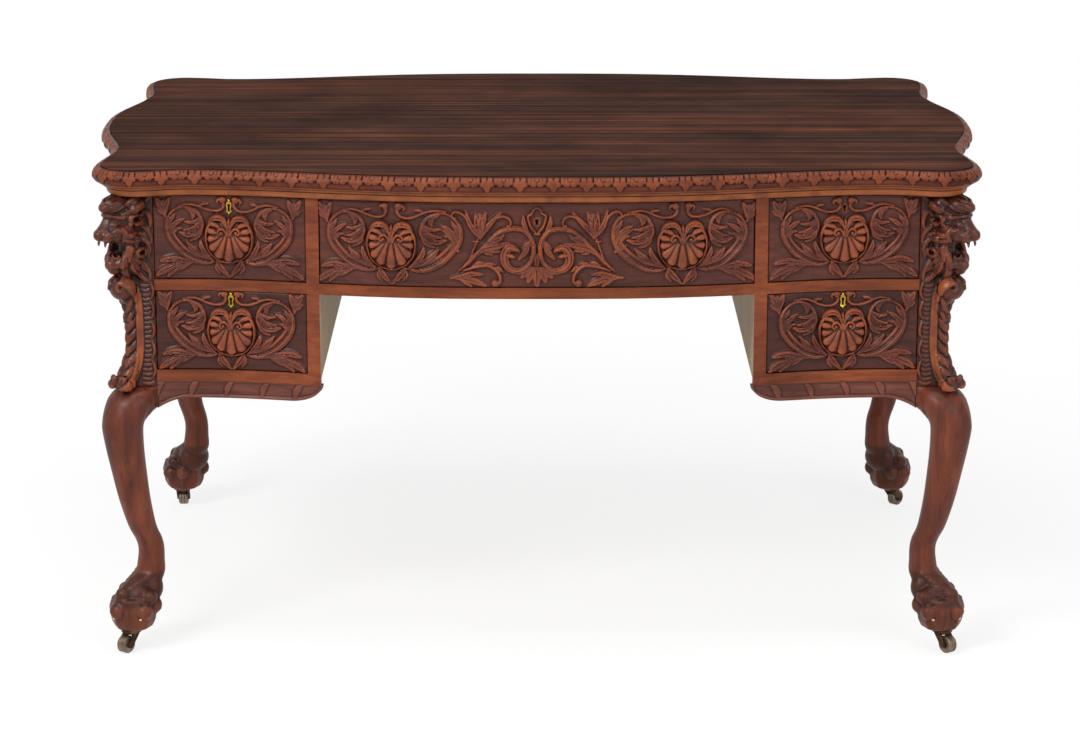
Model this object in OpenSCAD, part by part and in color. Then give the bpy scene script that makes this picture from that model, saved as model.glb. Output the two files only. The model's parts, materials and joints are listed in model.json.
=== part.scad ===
// Partners desk: a serpentine top on two pedestals with drawers on both sides,
// griffin corner posts, cabriole legs with lion's paws, and brass casters.
// X runs along the desk, the front faces -Y, Z is up, and the origin lies on
// the floor under the middle of the desk.

/* [Whole desk] */
// Height from the floor to the top face
desk_height = 775; // [745:1:800]
// Half the width of the top at the dips in its sides
side_dip = 667; // [655:1:700]
// How far each side of the top bows out past its dips
side_bow = 40; // [20:1:50]
// Distance of the side dips from the middle
side_dip_y = 250; // [230:1:270]
// Half the depth of the top at the dips in its front and rear
front_dip = 424; // [412:1:450]
// How far the front and the rear bow out past their dips
front_bow = 60; // [35:1:75]
// Distance of the front dips from the middle
front_dip_x = 530; // [515:1:545]

/* [Top] */
// Thickness of the top board and its carved edge
top_thickness = 24; // [20:1:30]
// Width of the carved edge, seen from above
edge_width = 14; // [12:1:18]
// Radius of the rounded ear at each corner
ear_radius = 68; // [60:1:76]
// How far an ear stands past the front dips
ear_front = 16; // [8:1:20]
// How far an ear stands past the side dips
ear_side = 13; // [6:1:18]
// Height of the stepped cornice under the top
cornice_height = 20; // [16:1:26]

/* [Carcase] */
// How far the drawer faces stand back from the edge of the top
face_inset = 34; // [30:1:40]
// Side of the square corner posts
post_size = 46; // [42:1:50]
// Half the width of the kneehole between the stiles
kneehole_half = 332; // [310:1:345]
// Width of the stiles beside the kneehole
stile_width = 20; // [18:1:26]
// Thickness of the panels that line the kneehole
lining_thickness = 16; // [12:1:18]
// Thickness of the bowed end panels, end rails and end aprons
end_thickness = 20; // [16:1:24]
// Height of the rails between the drawers
rail_height = 17; // [14:1:22]
// Height of the rails under the lower drawers
bottom_rail_height = 18; // [14:1:22]
// Height of the carved aprons
apron_height = 26; // [22:1:34]
// How far the aprons stand forward of the rails
apron_proud = 2; // [0:0.5:4]
// Thickness of the dust boards and the pedestal bottoms
dust_board_thickness = 10; // [8:1:12]
// Thickness of the dividers between front and rear drawers
divider_thickness = 12; // [9:1:18]
// Width of the guides beside the drawers
guide_width = 14; // [10:1:18]
// Height of the guides beside the drawers
guide_height = 18; // [12:1:30]

/* [Drawers] */
// Height of the openings for the upper drawers
upper_opening = 133; // [120:1:140]
// Height of the openings for the lower drawers
lower_opening = 126; // [115:1:140]
// Least thickness of a drawer front
front_thickness = 20; // [18:1:24]
// Gap round a drawer front
drawer_gap = 1; // [0.5:0.1:2]
// Gap between a drawer's sides and the board that carries them
runner_gap = 0.3; // [0.2:0.1:0.6]
// Thickness of the drawer sides and backs
side_thickness = 11; // [9:1:14]
// Thickness of the drawer bottoms
bottom_thickness = 6; // [5:0.5:9]
// Height of a drawer bottom above the lower edge of its sides
bottom_rise = 8; // [5:1:12]
// How far the drawer sides stop short of the top of the opening
side_drop = 9; // [6:1:20]
// Gap between a closed drawer and the divider behind it
divider_gap = 4; // [2:1:10]

/* [Shell pulls and locks] */
// Distance of the two shells on a centre drawer from its middle
centre_pull_x = 220; // [190:1:250]
// How far a shell sits below the middle of its front
shell_drop = 2; // [0:0.5:4]
// Radius of the carved rim round each shell
shell_rim = 36; // [34:1:39]
// Length of a shell's lower flutes
flute_length = 25; // [22:1:27]
// Radius of a flute at its lip
flute_lip = 7.5; // [6:0.5:8]
// Width of a lock case
lock_width = 44; // [36:1:52]
// Height of a lock case
lock_height = 36; // [30:1:44]
// Depth of a lock case
lock_depth = 9; // [7:1:11]
// Radius of the round hole behind a keyhole
keyhole_radius = 2.4; // [2:0.1:3]

/* [Corner posts] */
// Width of a griffin's head
head_width = 44; // [38:1:48]
// Width of the scroll down the corner
scroll_width = 34; // [28:1:38]
// Radius of the volute under the chin
volute_radius = 20; // [16:1:22]
// Radius of the knobbed toe at the foot of the scroll
toe_radius = 12; // [9:1:13]
// Radius of the reeds on the post
reed_radius = 4; // [3:0.5:5]

/* [Legs] */
// Height of the paws' soles above the floor
sole_height = 36; // [34:1:40]
// How far the foot of a post reaches below the bottom rails
post_foot = 10; // [6:1:14]
// Distance of a caster from the middle of its post, along the diagonal
caster_reach = 40; // [34:1:44]

/* [Casters] */
// Diameter of a caster wheel
wheel_diameter = 28; // [24:1:28]
// Width of a caster wheel
wheel_width = 16; // [12:1:18]
// How far a wheel trails behind its swivel
caster_trail = 13; // [10:1:16]
// Radius of the plate under each paw
plate_radius = 16; // [14:1:18]
// Thickness of the plate under each paw
plate_thickness = 3.7; // [3:0.1:4.5]
// Radius of the swivel pin
pin_radius = 4; // [3:0.5:5]
// Length of the socket let into the paw
socket_length = 20; // [16:1:24]
// Radius of a wheel's axle
axle_radius = 2.5; // [2:0.25:3]
// Thickness of each cheek of a horn
cheek_thickness = 3; // [2.5:0.5:4]
// Radial clearance of the pin in its socket and of the wheel on its axle
running_fit = 0.05; // [0.03:0.01:0.1]

/* [Hidden] */
$fn = 48;
wood_dark = "#5a2c1c";
wood_red = "#7a3b22";
wood_brown = "#8a4a28";
wood_raw = "#8c7458";
brass_old = "#8a6a3a";
brass_worn = "#a08a60";

// Thickness of what is subtracted or kept clear where two faces would meet
skin = 0.2;
tiny = 0.1;

// Levels, from the top down
top_z = desk_height - top_thickness;
cornice_z = top_z - cornice_height;
upper_z = cornice_z - upper_opening;
mid_z = upper_z - rail_height;
lower_z = mid_z - lower_opening;
bottom_z = lower_z - bottom_rail_height;
apron_z = bottom_z - apron_height;
post_z = bottom_z - post_foot;
leg_length = post_z - sole_height;

// Plan of the carcase; the sharpness of a bow draws its swell in to the middle
front_sharpness = 1.5;
side_sharpness = 1.3;
ear_x = side_dip + ear_side - ear_radius;
ear_y = front_dip + ear_front - ear_radius;
post_out_x = side_dip - face_inset;
post_out_y = front_dip - face_inset;
post_in_x = post_out_x - post_size;
post_in_y = post_out_y - post_size;
post_x = post_out_x - post_size / 2;
post_y = post_out_y - post_size / 2;
stile_out = kneehole_half + stile_width;
lining_in = kneehole_half + (stile_width - lining_thickness) / 2;
lining_out = lining_in + lining_thickness;
front_back_y = post_out_y - front_thickness;
stile_back_y = face_y(kneehole_half) - front_thickness;
box_back_y = divider_thickness / 2 + divider_gap;

// Each corner: name, side of X, side of Y, and the way its caster trails
CORNERS = [
    ["front_left", -1, -1, -127],
    ["front_right", 1, -1, -53],
    ["rear_left", -1, 1, 90],
    ["rear_right", 1, 1, 45]
];

// Each drawer: name, side of Y, side of X or 0 for the centre, upper or lower
DRAWERS = [
    for (s = [["front", -1], ["rear", 1]])
        for (d = [
            ["left_upper", -1, true],
            ["left_lower", -1, false],
            ["centre", 0, true],
            ["right_upper", 1, true],
            ["right_lower", 1, false]
        ])
            [str(s[0], "_", d[0]), s[1], d[1], d[2]]
];

// A bow that is 1 in the middle and 0 at the dips, where its slope is level too
function bow(t, sharpness) = (1 + cos(180 * pow(min(abs(t), 1), sharpness))) / 2;
// A rise from 0 to 1 between the dips and the ears
function rise(t) = (1 - cos(180 * max(0, min(1, t)))) / 2;

// Serpentine lines of the carcase, without the ears
function bow_y(x) = front_dip + front_bow * bow(x / front_dip_x, front_sharpness);
function bow_x(y) = side_dip + side_bow * bow(y / side_dip_y, side_sharpness);
function face_y(x) = bow_y(x) - face_inset;
function face_x(y) = bow_x(y) - face_inset;
function panel_in(y) = face_x(y) - end_thickness;

// Edge of the top, with the ears
function edge_y(x) = bow_y(x) + ear_front * rise((abs(x) - front_dip_x) / (ear_x - front_dip_x));
function edge_x(y) = bow_x(y) + ear_side * rise((abs(y) - side_dip_y) / (ear_y - side_dip_y));

// Outline of the top, anticlockwise from the front left ear, moved in by inset
front_steps = 18;
side_steps = 8;
ear_steps = 6;
function outline(inset) = concat(
    [for (i = [-front_steps:front_steps])
        let (x = ear_x * i / front_steps) [x, inset - edge_y(x)]],
    [for (i = [1:ear_steps - 1]) ear_point(1, -1, 90 * i / ear_steps - 90, inset)],
    [for (i = [-side_steps:side_steps])
        let (y = ear_y * i / side_steps) [edge_x(y) - inset, y]],
    [for (i = [1:ear_steps - 1]) ear_point(1, 1, 90 * i / ear_steps, inset)],
    [for (i = [front_steps:-1:-front_steps])
        let (x = ear_x * i / front_steps) [x, edge_y(x) - inset]],
    [for (i = [1:ear_steps - 1]) ear_point(-1, 1, 90 * i / ear_steps + 90, inset)],
    [for (i = [side_steps:-1:-side_steps])
        let (y = ear_y * i / side_steps) [inset - edge_x(y), y]],
    [for (i = [1:ear_steps - 1]) ear_point(-1, -1, 90 * i / ear_steps + 180, inset)]
);
function ear_point(side_x, side_y, angle, inset) = [
    side_x * ear_x + (ear_radius - inset) * cos(angle),
    side_y * ear_y + (ear_radius - inset) * sin(angle)
];

// Rings of points joined into one solid. Each ring runs anticlockwise seen from
// above, and closed joins the last ring to the first.
module loft(rings, closed = false) {
    n = len(rings[0]);
    count = len(rings);
    bands = closed ? count : count - 1;
    walls = [
        for (i = [0:bands - 1])
            for (k = [0:n - 1])
                let (
                    low = i * n,
                    high = ((i + 1) % count) * n,
                    next = (k + 1) % n
                )
                for (face = [[low + k, high + k, high + next], [low + k, high + next, low + next]])
                    face
    ];
    caps = closed ? [] : [
        [for (k = [0:n - 1]) k],
        [for (k = [n - 1:-1:0]) (count - 1) * n + k]
    ];
    polyhedron(points = [for (ring = rings) for (p = ring) p], faces = concat(walls, caps));
}

// A moulding that follows the outline of the top; each row is an inset and a height
module moulding(profile, closed) {
    loft([for (row = profile) [for (p = outline(row[0])) [p[0], p[1], row[1]]]], closed);
}

module desk_top() {
    color(wood_dark)
        translate([0, 0, top_z])
            linear_extrude(top_thickness)
                polygon(outline(edge_width));
}

// The edge is an ovolo over a short quirk
edge_profile = [[1, 0], [0.36, 0], [0.1, 0.12], [0, 0.33], [0.04, 0.54], [0.22, 0.75],
                [0.5, 0.92], [0.86, 1], [1, 1]];
module carved_edge() {
    color(wood_brown)
        moulding([for (p = edge_profile) [p[0] * edge_width, top_z + p[1] * top_thickness]], true);
}

// The cornice steps in from a fillet through a cove to a second fillet
cornice_in = 3;
cornice_profile = [[0, 0], [0, 0.15], [0.2, 0.2], [0.25, 0.38], [0.45, 0.55], [0.72, 0.66],
                   [0.72, 0.8], [0.86, 0.86], [0.86, 1]];
module cornice_board() {
    inset_low = face_inset - cornice_in;
    color(wood_brown)
        moulding([for (p = cornice_profile)
            [inset_low - p[0] * (inset_low - edge_width * 0.3), cornice_z + p[1] * cornice_height]],
            false);
}

// Part of the front's serpentine between two distances from the middle, with a
// flat back, for the front right quarter of the desk
face_steps = 10;
module face_slab(from_x, to_x, back_y, low_z, high_z, proud = 0) {
    line = [for (i = [0:face_steps])
        let (x = from_x + (to_x - from_x) * i / face_steps) [x, -face_y(x) - proud]];
    translate([0, 0, low_z])
        linear_extrude(high_z - low_z)
            polygon(concat(line, [[to_x, -back_y], [from_x, -back_y]]));
}

// The same for the right end, between the posts
end_steps = 16;
module end_slab(low_z, high_z, proud = 0) {
    outer = [for (i = [-end_steps:end_steps])
        let (y = post_in_y * i / end_steps) [face_x(y) + proud, y]];
    inner = [for (i = [end_steps:-1:-end_steps])
        let (y = post_in_y * i / end_steps) [panel_in(y), y]];
    translate([0, 0, low_z])
        linear_extrude(high_z - low_z)
            polygon(concat(outer, inner));
}

module both_sides() {
    children();
    mirror([1, 0, 0]) children();
}

module both_faces() {
    children();
    mirror([0, 1, 0]) children();
}

module end_panel() {
    color(wood_red)
        end_slab(lower_z, cornice_z);
}

module kneehole_panel() {
    color(wood_raw)
        translate([lining_in, -stile_back_y, bottom_z])
            cube([lining_thickness, 2 * stile_back_y, cornice_z - bottom_z]);
}

module stiles() {
    color(wood_brown)
        both_faces() both_sides()
            face_slab(kneehole_half, stile_out, stile_back_y, bottom_z, cornice_z);
}

module drawer_rails() {
    color(wood_brown)
        both_faces() {
            both_sides()
                face_slab(stile_out, post_in_x, front_back_y, mid_z, upper_z);
            face_slab(-kneehole_half, kneehole_half, stile_back_y, mid_z, upper_z);
        }
}

module bottom_rails() {
    color(wood_brown) {
        both_faces() both_sides()
            face_slab(stile_out, post_in_x, front_back_y, bottom_z, lower_z);
        both_sides()
            end_slab(bottom_z, lower_z);
    }
}

// Lower edge of an apron: a bracket at a leg, and a round at a free end
bracket_drop = 11;
module apron_outline(length, free_end) {
    round_radius = apron_height - 2;
    difference() {
        translate([0, -bracket_drop])
            square([length, apron_height + bracket_drop]);
        translate([free_end ? -1 : bracket_drop, -bracket_drop - 1])
            square([length + (free_end ? 1 : -bracket_drop) - bracket_drop, bracket_drop + 1]);
        translate([length - bracket_drop, -bracket_drop])
            circle(bracket_drop);
        if (!free_end)
            translate([bracket_drop, -bracket_drop])
                circle(bracket_drop);
        if (free_end)
            difference() {
                translate([-1, -1])
                    square([round_radius + 1, round_radius + 1]);
                translate([round_radius, round_radius])
                    circle(round_radius);
            }
    }
}

module aprons() {
    low = apron_z - bracket_drop - 1;
    color(wood_red) {
        both_faces() both_sides()
            intersection() {
                face_slab(kneehole_half, post_in_x, front_back_y, low, bottom_z, apron_proud);
                translate([kneehole_half, 0, apron_z])
                    rotate([90, 0, 0])
                        linear_extrude(bow_y(0))
                            apron_outline(post_in_x - kneehole_half, true);
            }
        both_sides()
            intersection() {
                end_slab(low, bottom_z, apron_proud);
                translate([0, -post_in_y, apron_z])
                    rotate([90, 0, 90])
                        linear_extrude(bow_x(0))
                            apron_outline(2 * post_in_y, false);
            }
    }
}

// One board of a pedestal, cut round the posts and shaped to the end panel
module pedestal_board(high_z) {
    translate([0, 0, high_z - dust_board_thickness])
        linear_extrude(dust_board_thickness)
            polygon(concat(
                [[lining_out, -front_back_y], [post_in_x, -front_back_y], [post_in_x, -post_in_y]],
                [for (i = [-end_steps:end_steps])
                    let (y = post_in_y * i / end_steps) [panel_in(y), y]],
                [[post_in_x, post_in_y], [post_in_x, front_back_y], [lining_out, front_back_y]]
            ));
}

module dust_boards() {
    color(wood_raw) {
        both_sides() {
            pedestal_board(upper_z);
            pedestal_board(lower_z);
        }
        translate([-lining_in, -stile_back_y, upper_z - dust_board_thickness])
            cube([2 * lining_in, 2 * stile_back_y, dust_board_thickness]);
    }
}

module drawer_guides() {
    half = divider_thickness / 2;
    rooms = [[lower_z, upper_z - dust_board_thickness], [upper_z, cornice_z]];
    divider_end = panel_in(post_in_y / end_steps);
    color(wood_raw) {
        both_sides()
            for (room = rooms) {
                translate([lining_out, -half, room[0]])
                    cube([divider_end - lining_out, divider_thickness, room[1] - room[0]]);
                both_faces()
                    translate([post_in_x, half + skin, room[0]])
                        cube([guide_width, post_in_y - half - 2 * skin, guide_height]);
            }
        translate([-lining_in, -half, upper_z])
            cube([2 * lining_in, divider_thickness, cornice_z - upper_z]);
    }
}

// A drawer's own sizes: sides of X, back of its front, and its levels
function drawer_from(d) = d[2] == 0 ? -kneehole_half + drawer_gap : stile_out + drawer_gap;
function drawer_to(d) = d[2] == 0 ? kneehole_half - drawer_gap : post_in_x - drawer_gap;
function drawer_middle(d) = (drawer_from(d) + drawer_to(d)) / 2;
function drawer_back(d) = d[2] == 0 ? stile_back_y : front_back_y;
function drawer_low(d) = d[3] ? upper_z : lower_z;
function drawer_high(d) = d[3] ? cornice_z : mid_z;
function drawer_top(d) = drawer_high(d) - drawer_gap;
function shell_z(d) = (drawer_low(d) + drawer_high(d)) / 2 - shell_drop;
// A keyhole lies midway between the rim of the shell and the top of the front
function keyhole_z(d) = (drawer_top(d) + shell_z(d) + shell_rim + rim_bead) / 2;
function drawer_pulls(d) = d[2] == 0 ? [-centre_pull_x, centre_pull_x] : [drawer_middle(d)];

rim_bead = 2;

// Moves a drawer made for the front right to its own place
module at_drawer(d) {
    mirror([0, d[1] > 0 ? 1 : 0, 0])
        mirror([d[2] < 0 ? 1 : 0, 0, 0])
            children();
}

// Stands children on the serpentine face at x and z: their X runs across the
// face, their Y is up and their Z points out of it
module on_face(x, z) {
    reach = 1;
    slope = (face_y(x + reach) - face_y(x - reach)) / (2 * reach);
    translate([x, -face_y(x), z])
        rotate([90, 0, -atan(slope)])
            children();
}

// Outline of a scallop shell round its hinge, as [angle, radius] pairs: five
// fluted lobes fan down, and a plain crown closes the top
flutes = 5;
flute_angle = 30;
flute_steps = 4;
crown_steps = 12;
fan = flutes * flute_angle;
function shell_outline() = concat(
    [for (i = [0:flutes * flute_steps - 1])
        let (lobe = abs(sin(180 * i / flute_steps)))
        [-90 - fan / 2 + i * flute_angle / flute_steps, flute_length + flute_lip * lobe]],
    [for (i = [0:crown_steps - 1])
        let (share = i / crown_steps)
        [-90 + fan / 2 + share * (360 - fan),
         crown_radius + (flute_length - crown_radius) * pow(abs(1 - 2 * share), 6)]]
);

// The shell swells from its lip to the middle of the flutes and dips at the hinge;
// each row is a share of the outline and a height
hinge_rise = 8;
crown_radius = 20;
shell_back = 4;
shell_profile = [[1, -shell_back], [1, 4], [0.8, 12], [0.45, 15], [0.16, 10]];
module shell_pull() {
    translate([0, hinge_rise, 0])
        loft([for (row = shell_profile) [for (p = shell_outline())
            [row[0] * p[1] * cos(p[0]), row[0] * p[1] * sin(p[0]), row[1]]]]);
}

module drawer_front(d) {
    low = drawer_low(d) + drawer_gap;
    high = drawer_top(d);
    lock_x = drawer_middle(d);
    color(wood_red)
        at_drawer(d) {
            difference() {
                union() {
                    face_slab(drawer_from(d), drawer_to(d), drawer_back(d), low, high);
                    for (x = drawer_pulls(d))
                        on_face(x, shell_z(d))
                            rotate_extrude()
                                translate([shell_rim, 0])
                                    circle(rim_bead);
                }
                translate([lock_x - lock_width / 2 - skin, -drawer_back(d) - lock_depth - skin,
                           high - lock_height - skin])
                    cube([lock_width + 2 * skin, lock_depth + 1 + skin, lock_height + 1 + skin]);
                translate([lock_x, -drawer_back(d), keyhole_z(d)])
                    rotate([90, 0, 0])
                        cylinder(h = front_bow + front_thickness + 1, r = keyhole_radius);
            }
            for (x = drawer_pulls(d))
                difference() {
                    on_face(x, shell_z(d)) shell_pull();
                    face_slab(drawer_from(d), drawer_to(d), drawer_back(d), low, high, skin);
                }
        }
}

// Two sides, a back and a bottom, each a board of its own
module drawer_box(d) {
    x0 = drawer_from(d);
    x1 = drawer_to(d);
    y0 = -drawer_back(d);
    y1 = -box_back_y;
    low = drawer_low(d) + runner_gap;
    high = drawer_high(d) - side_drop;
    color(wood_raw)
        at_drawer(d) {
            for (x = [x0, x1 - side_thickness])
                translate([x, y0, low])
                    cube([side_thickness, y1 - y0, high - low]);
            translate([x0 + side_thickness + tiny, y1 - side_thickness, low])
                cube([x1 - x0 - 2 * side_thickness - 2 * tiny, side_thickness, high - low]);
            translate([x0 + side_thickness + tiny, y0, low + bottom_rise])
                cube([x1 - x0 - 2 * side_thickness - 2 * tiny,
                      y1 - y0 - side_thickness - tiny, bottom_thickness]);
        }
}

// Fronts whose keyhole is bare wood in the carving
bare_keyholes = ["front_centre", "front_right_upper", "rear_centre"];
escutcheon_thickness = 1.6;
bolt_width = 14;
bolt_height = 8;

// An upright plate with a round knob at each end and a keyhole
module escutcheon() {
    half = 5.5;
    difference() {
        union() {
            linear_extrude(escutcheon_thickness)
                union() {
                    translate([-4.8, -half]) square([9.6, 2 * half]);
                    for (end = [-1, 1])
                        translate([0, end * half]) circle(3.4);
                }
            for (end = [-1, 1])
                translate([0, end * (half + 2.2), escutcheon_thickness - 1])
                    sphere(1.9);
        }
        translate([0, 0, -1])
            linear_extrude(escutcheon_thickness + 2) {
                translate([0, 1.5]) circle(1.9);
                translate([-0.9, -3.5]) square([1.8, 5]);
            }
    }
}

// The case lies in the back of the front, with its selvedge flush with the top
module drawer_lock(d) {
    high = drawer_top(d);
    back = -drawer_back(d);
    lock_x = drawer_middle(d);
    key_z = keyhole_z(d);
    bare = len([for (name = bare_keyholes) if (name == d[0]) name]) > 0;
    color(brass_old)
        at_drawer(d) {
            difference() {
                translate([lock_x - lock_width / 2, back - lock_depth, high - lock_height])
                    cube([lock_width, lock_depth, lock_height]);
                translate([lock_x - bolt_width / 2 - skin, back - lock_depth + 2 - skin,
                           high - bolt_height - skin])
                    cube([bolt_width + 2 * skin, lock_depth - 4 + 2 * skin, bolt_height + 1]);
                translate([lock_x, back + 1, key_z])
                    rotate([90, 0, 0])
                        cylinder(h = lock_depth + 2, r = keyhole_radius);
            }
            translate([lock_x - bolt_width / 2, back - lock_depth + 2, high - bolt_height])
                cube([bolt_width, lock_depth - 4, bolt_height]);
            if (!bare)
                difference() {
                    on_face(lock_x, key_z) translate([0, 0, skin]) escutcheon();
                    face_slab(drawer_from(d), drawer_to(d), drawer_back(d),
                              drawer_low(d), high, skin);
                }
        }
}

// Moves children made along +X to a corner, so that +X points out of the desk
// along the corner's diagonal
module at_corner(c) {
    translate([c[1] * post_x, c[2] * post_y, 0])
        rotate([0, 0, atan2(c[2], c[1])])
            children();
}

// Side view of the head: distance out along the diagonal, and drop from the
// cornice, from the crown over brow, beak, open mouth and lower jaw to the throat
head_profile = [
    [0, 0], [30, 0], [44, 4], [57, 10], [61, 19], [58, 27], [66, 34], [79, 43], [84, 52],
    [82, 61], [76, 72], [71, 64], [54, 70], [39, 80], [40, 89], [50, 91], [56, 82], [60, 93],
    [63, 103], [57, 113], [44, 122], [30, 128], [0, 130]
];
// Side view of the scroll, measured the same way down to the knobbed toe
function scroll_profile(foot) = [
    [0, 120], [36, 124], [36, 150], [24, 168], [23, 180], [18, 190], [15, 205],
    [12, foot - 66], [15, foot - 42], [24, foot - 28], [30, foot - 20], [30, foot], [0, foot]
];
// Half the width of the head from above: it narrows to the beak
head_taper = [[-6, 0.9], [30, 1], [52, 0.95], [66, 0.55], [85, 0.2]];

// How far below the cornice the head ends
head_drop = 140;

// Places on the head: distance out along the diagonal, distance in from the head's
// side, and drop from the cornice
eye_place = [52, 5, 25];
brow_place = [38, 3, 15];
ear_place = [22, 4, 34];
boss_place = [28, 5, 76];
mane_place = [14, 4, 62];
fang_place = [74, 18, 66];
eye_size = 5;
// Length and the two end radii of the cones, and the turn that points each one
brow_cone = [22, 4.5, 3];
brow_turn = [0, 97, 0];
ear_cone = [24, 7, 1.5];
ear_turn = [-32, -50, 0];
fang_cone = [12, 3, 0.8];
fang_turn = [0, 172, 0];
// Round boss behind the cheek with the hole in its middle
boss_radius = 15;
boss_height = 9;
boss_hole_radius = 4;
boss_hole_depth = 4;
// Locks of the mane: each is an arc outside the one before
mane_locks = 3;
mane_radius = 18;
mane_pitch = 7;
mane_start = 95;
mane_sweep = 35;
strand_radius = 3;

// Places of the scroll's centre, of the bud under it and of the toe: out along the
// diagonal, and down from the cornice or up from the post's foot
volute_out = 26;
volute_drop = 146;
volute_eye = 0.45;
bud_out = 15;
bud_drop = 187;
bud_share = 0.4;
toe_out = 32;
toe_rise = 14;
// How far the volute, its eye and the toe stand out at each side of the scroll
volute_proud = 5;
volute_eye_proud = 7;
toe_proud = 4;
// Beads along the front of the toe
bead_out = 36;
bead_pitch = 13;
bead_rise = 13;
bead_radius = 9;
// Reeds beside the scroll: clear of the toe below and of the head above
reed_foot = 24;
reed_drop = 130;
reed_sink = 0.5;

module side_profile(points, width) {
    translate([0, width / 2, cornice_z])
        rotate([90, 0, 0])
            linear_extrude(width)
                polygon([for (p = points) [p[0], -p[1]]]);
}

// A rod across the post
module cross_rod(out, drop, radius, width) {
    translate([out, width / 2, cornice_z - drop])
        rotate([90, 0, 0])
            cylinder(h = width, r = radius);
}

module head() {
    half = head_width / 2;
    intersection() {
        side_profile(head_profile, head_width);
        translate([0, 0, cornice_z - head_drop])
            linear_extrude(head_drop)
                polygon(concat(
                    [for (p = head_taper) [p[0], -p[1] * half]],
                    [for (i = [len(head_taper) - 1:-1:0]) [head_taper[i][0], head_taper[i][1] * half]]
                ));
    }
}

module on_head(place) {
    translate([place[0], head_width / 2 - place[1], cornice_z - place[2]])
        children();
}

module cone(sizes) {
    cylinder(h = sizes[0], r1 = sizes[1], r2 = sizes[2]);
}

// Eye, brow, ear, fang and curled mane at one side of the head
module head_side() {
    on_head(eye_place)
        sphere(eye_size);
    on_head(brow_place)
        rotate(brow_turn)
            cone(brow_cone);
    on_head(ear_place)
        rotate(ear_turn)
            cone(ear_cone);
    on_head(fang_place)
        rotate(fang_turn)
            cone(fang_cone);
    on_head(boss_place)
        rotate([90, 0, 180])
            difference() {
                cylinder(h = boss_height, r = boss_radius);
                translate([0, 0, boss_height - boss_hole_depth])
                    cylinder(h = boss_hole_depth + 1, r = boss_hole_radius);
            }
    for (i = [0:mane_locks - 1])
        on_head(mane_place)
            rotate([90, 0, 0])
                rotate([0, 0, mane_start])
                    rotate_extrude(angle = mane_sweep)
                        translate([mane_radius + mane_pitch * i, 0])
                            circle(strand_radius);
}

// Reeds on one face of the post, in the corner's own turn
module reeds() {
    rotate([0, 0, 45])
        for (i = [0:1])
            translate([post_size / 2 - reed_sink, -post_size / 2 + (2 * i + 1.5) * reed_radius,
                       post_z + reed_foot])
                cylinder(h = cornice_z - reed_drop - post_z - reed_foot, r = reed_radius);
}

// Square post with a griffin's head, a scroll down the corner and reeds beside it
module griffin() {
    foot = cornice_z - post_z;
    color(wood_red) {
        rotate([0, 0, 45])
            translate([-post_size / 2, -post_size / 2, post_z])
                cube([post_size, post_size, foot]);
        head();
        for (side = [0, 1])
            mirror([0, side, 0]) {
                head_side();
                reeds();
            }
        side_profile(scroll_profile(foot), scroll_width);
        cross_rod(volute_out, volute_drop, volute_radius, scroll_width + 2 * volute_proud);
        cross_rod(volute_out, volute_drop, volute_radius * volute_eye,
                  scroll_width + 2 * volute_eye_proud);
        cross_rod(bud_out, bud_drop, volute_radius * bud_share, scroll_width);
        cross_rod(toe_out, foot - toe_rise, toe_radius, scroll_width + 2 * toe_proud);
        for (i = [-1:1])
            translate([bead_out, i * bead_pitch, post_z + bead_rise])
                sphere(bead_radius);
    }
}

// Top of a leg: how far out of the post's middle it stands, and its half width, which
// brings its square sides to the post's inner faces
leg_top_out = 15;
leg_gap = 0.11;
leg_top_half = post_size / 2 + leg_top_out * cos(45) - leg_gap;
// Stations down a leg: share of the leg's length, distance out along the
// diagonal, half width, squareness, and depth of the toes
leg_stations = [
    [0, 38, 28, 0, 0.03],
    [0.031, 40, 35, 0, 0.08],
    [0.074, 38, 37, 0, 0.1],
    [0.125, 27, 33, 0, 0.08],
    [0.174, 12, 27, 0, 0.03],
    [0.22, 0, 20.5, 0, 0],
    [0.268, -3, 19.3, 0, 0],
    [0.317, 0, 19.5, 0, 0],
    [0.42, 12, 21.5, 0, 0],
    [0.535, 25, 24.5, 0, 0],
    [0.65, 34, 27, 0, 0],
    [0.752, 41, 29.5, 0, 0],
    [0.831, 46, 31.5, 0, 0],
    [0.888, 40, 34, 0.1, 0],
    [0.931, 24, 34.5, 0.4, 0],
    [0.962, leg_top_out + 2, leg_top_half + 0.5, 0.8, 0],
    [1, leg_top_out, leg_top_half, 1, 0]
];
leg_sides = 32;
toe_count = 4;

// Radius of a leg at an angle from the diagonal: a circle, a square set square
// to the desk, or a round with toes at the front
function leg_radius(station, angle) =
    let (
        square_part = 1 / max(abs(cos(angle - 45)), abs(sin(angle - 45))) - 1,
        at_front = max(0, cos(angle)) > 0 ? 1 : 0,
        toes = at_front * abs(sin(toe_count * (angle + 90)))
    )
    station[2] * (1 + station[3] * square_part) * (1 + station[4] * toes);

module leg() {
    color(wood_red)
        difference() {
            loft([for (s = leg_stations) [for (k = [0:leg_sides - 1])
                let (angle = 360 * k / leg_sides, r = leg_radius(s, angle))
                [s[1] + r * cos(angle), r * sin(angle), sole_height + s[0] * leg_length]]]);
            translate([caster_reach, 0, sole_height - 1])
                cylinder(h = socket_length + 1.2, r = socket_radius + skin);
        }
}

socket_wall = 2.5;
socket_radius = pin_radius + socket_wall;
pin_slack = 1;
swivel_gap = 0.3;
crown_thickness = 3;
crown_high = sole_height - plate_thickness - swivel_gap;
crown_low = crown_high - crown_thickness;
axle_z = wheel_diameter / 2;
side_play = 0.3;

module caster_socket() {
    difference() {
        union() {
            translate([0, 0, sole_height - plate_thickness])
                cylinder(h = plate_thickness, r = plate_radius);
            translate([0, 0, sole_height - 1])
                cylinder(h = socket_length + 1, r = socket_radius);
        }
        translate([0, 0, sole_height - plate_thickness - 1])
            cylinder(h = plate_thickness + socket_length - 1, r = pin_radius + running_fit);
    }
}

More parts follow.
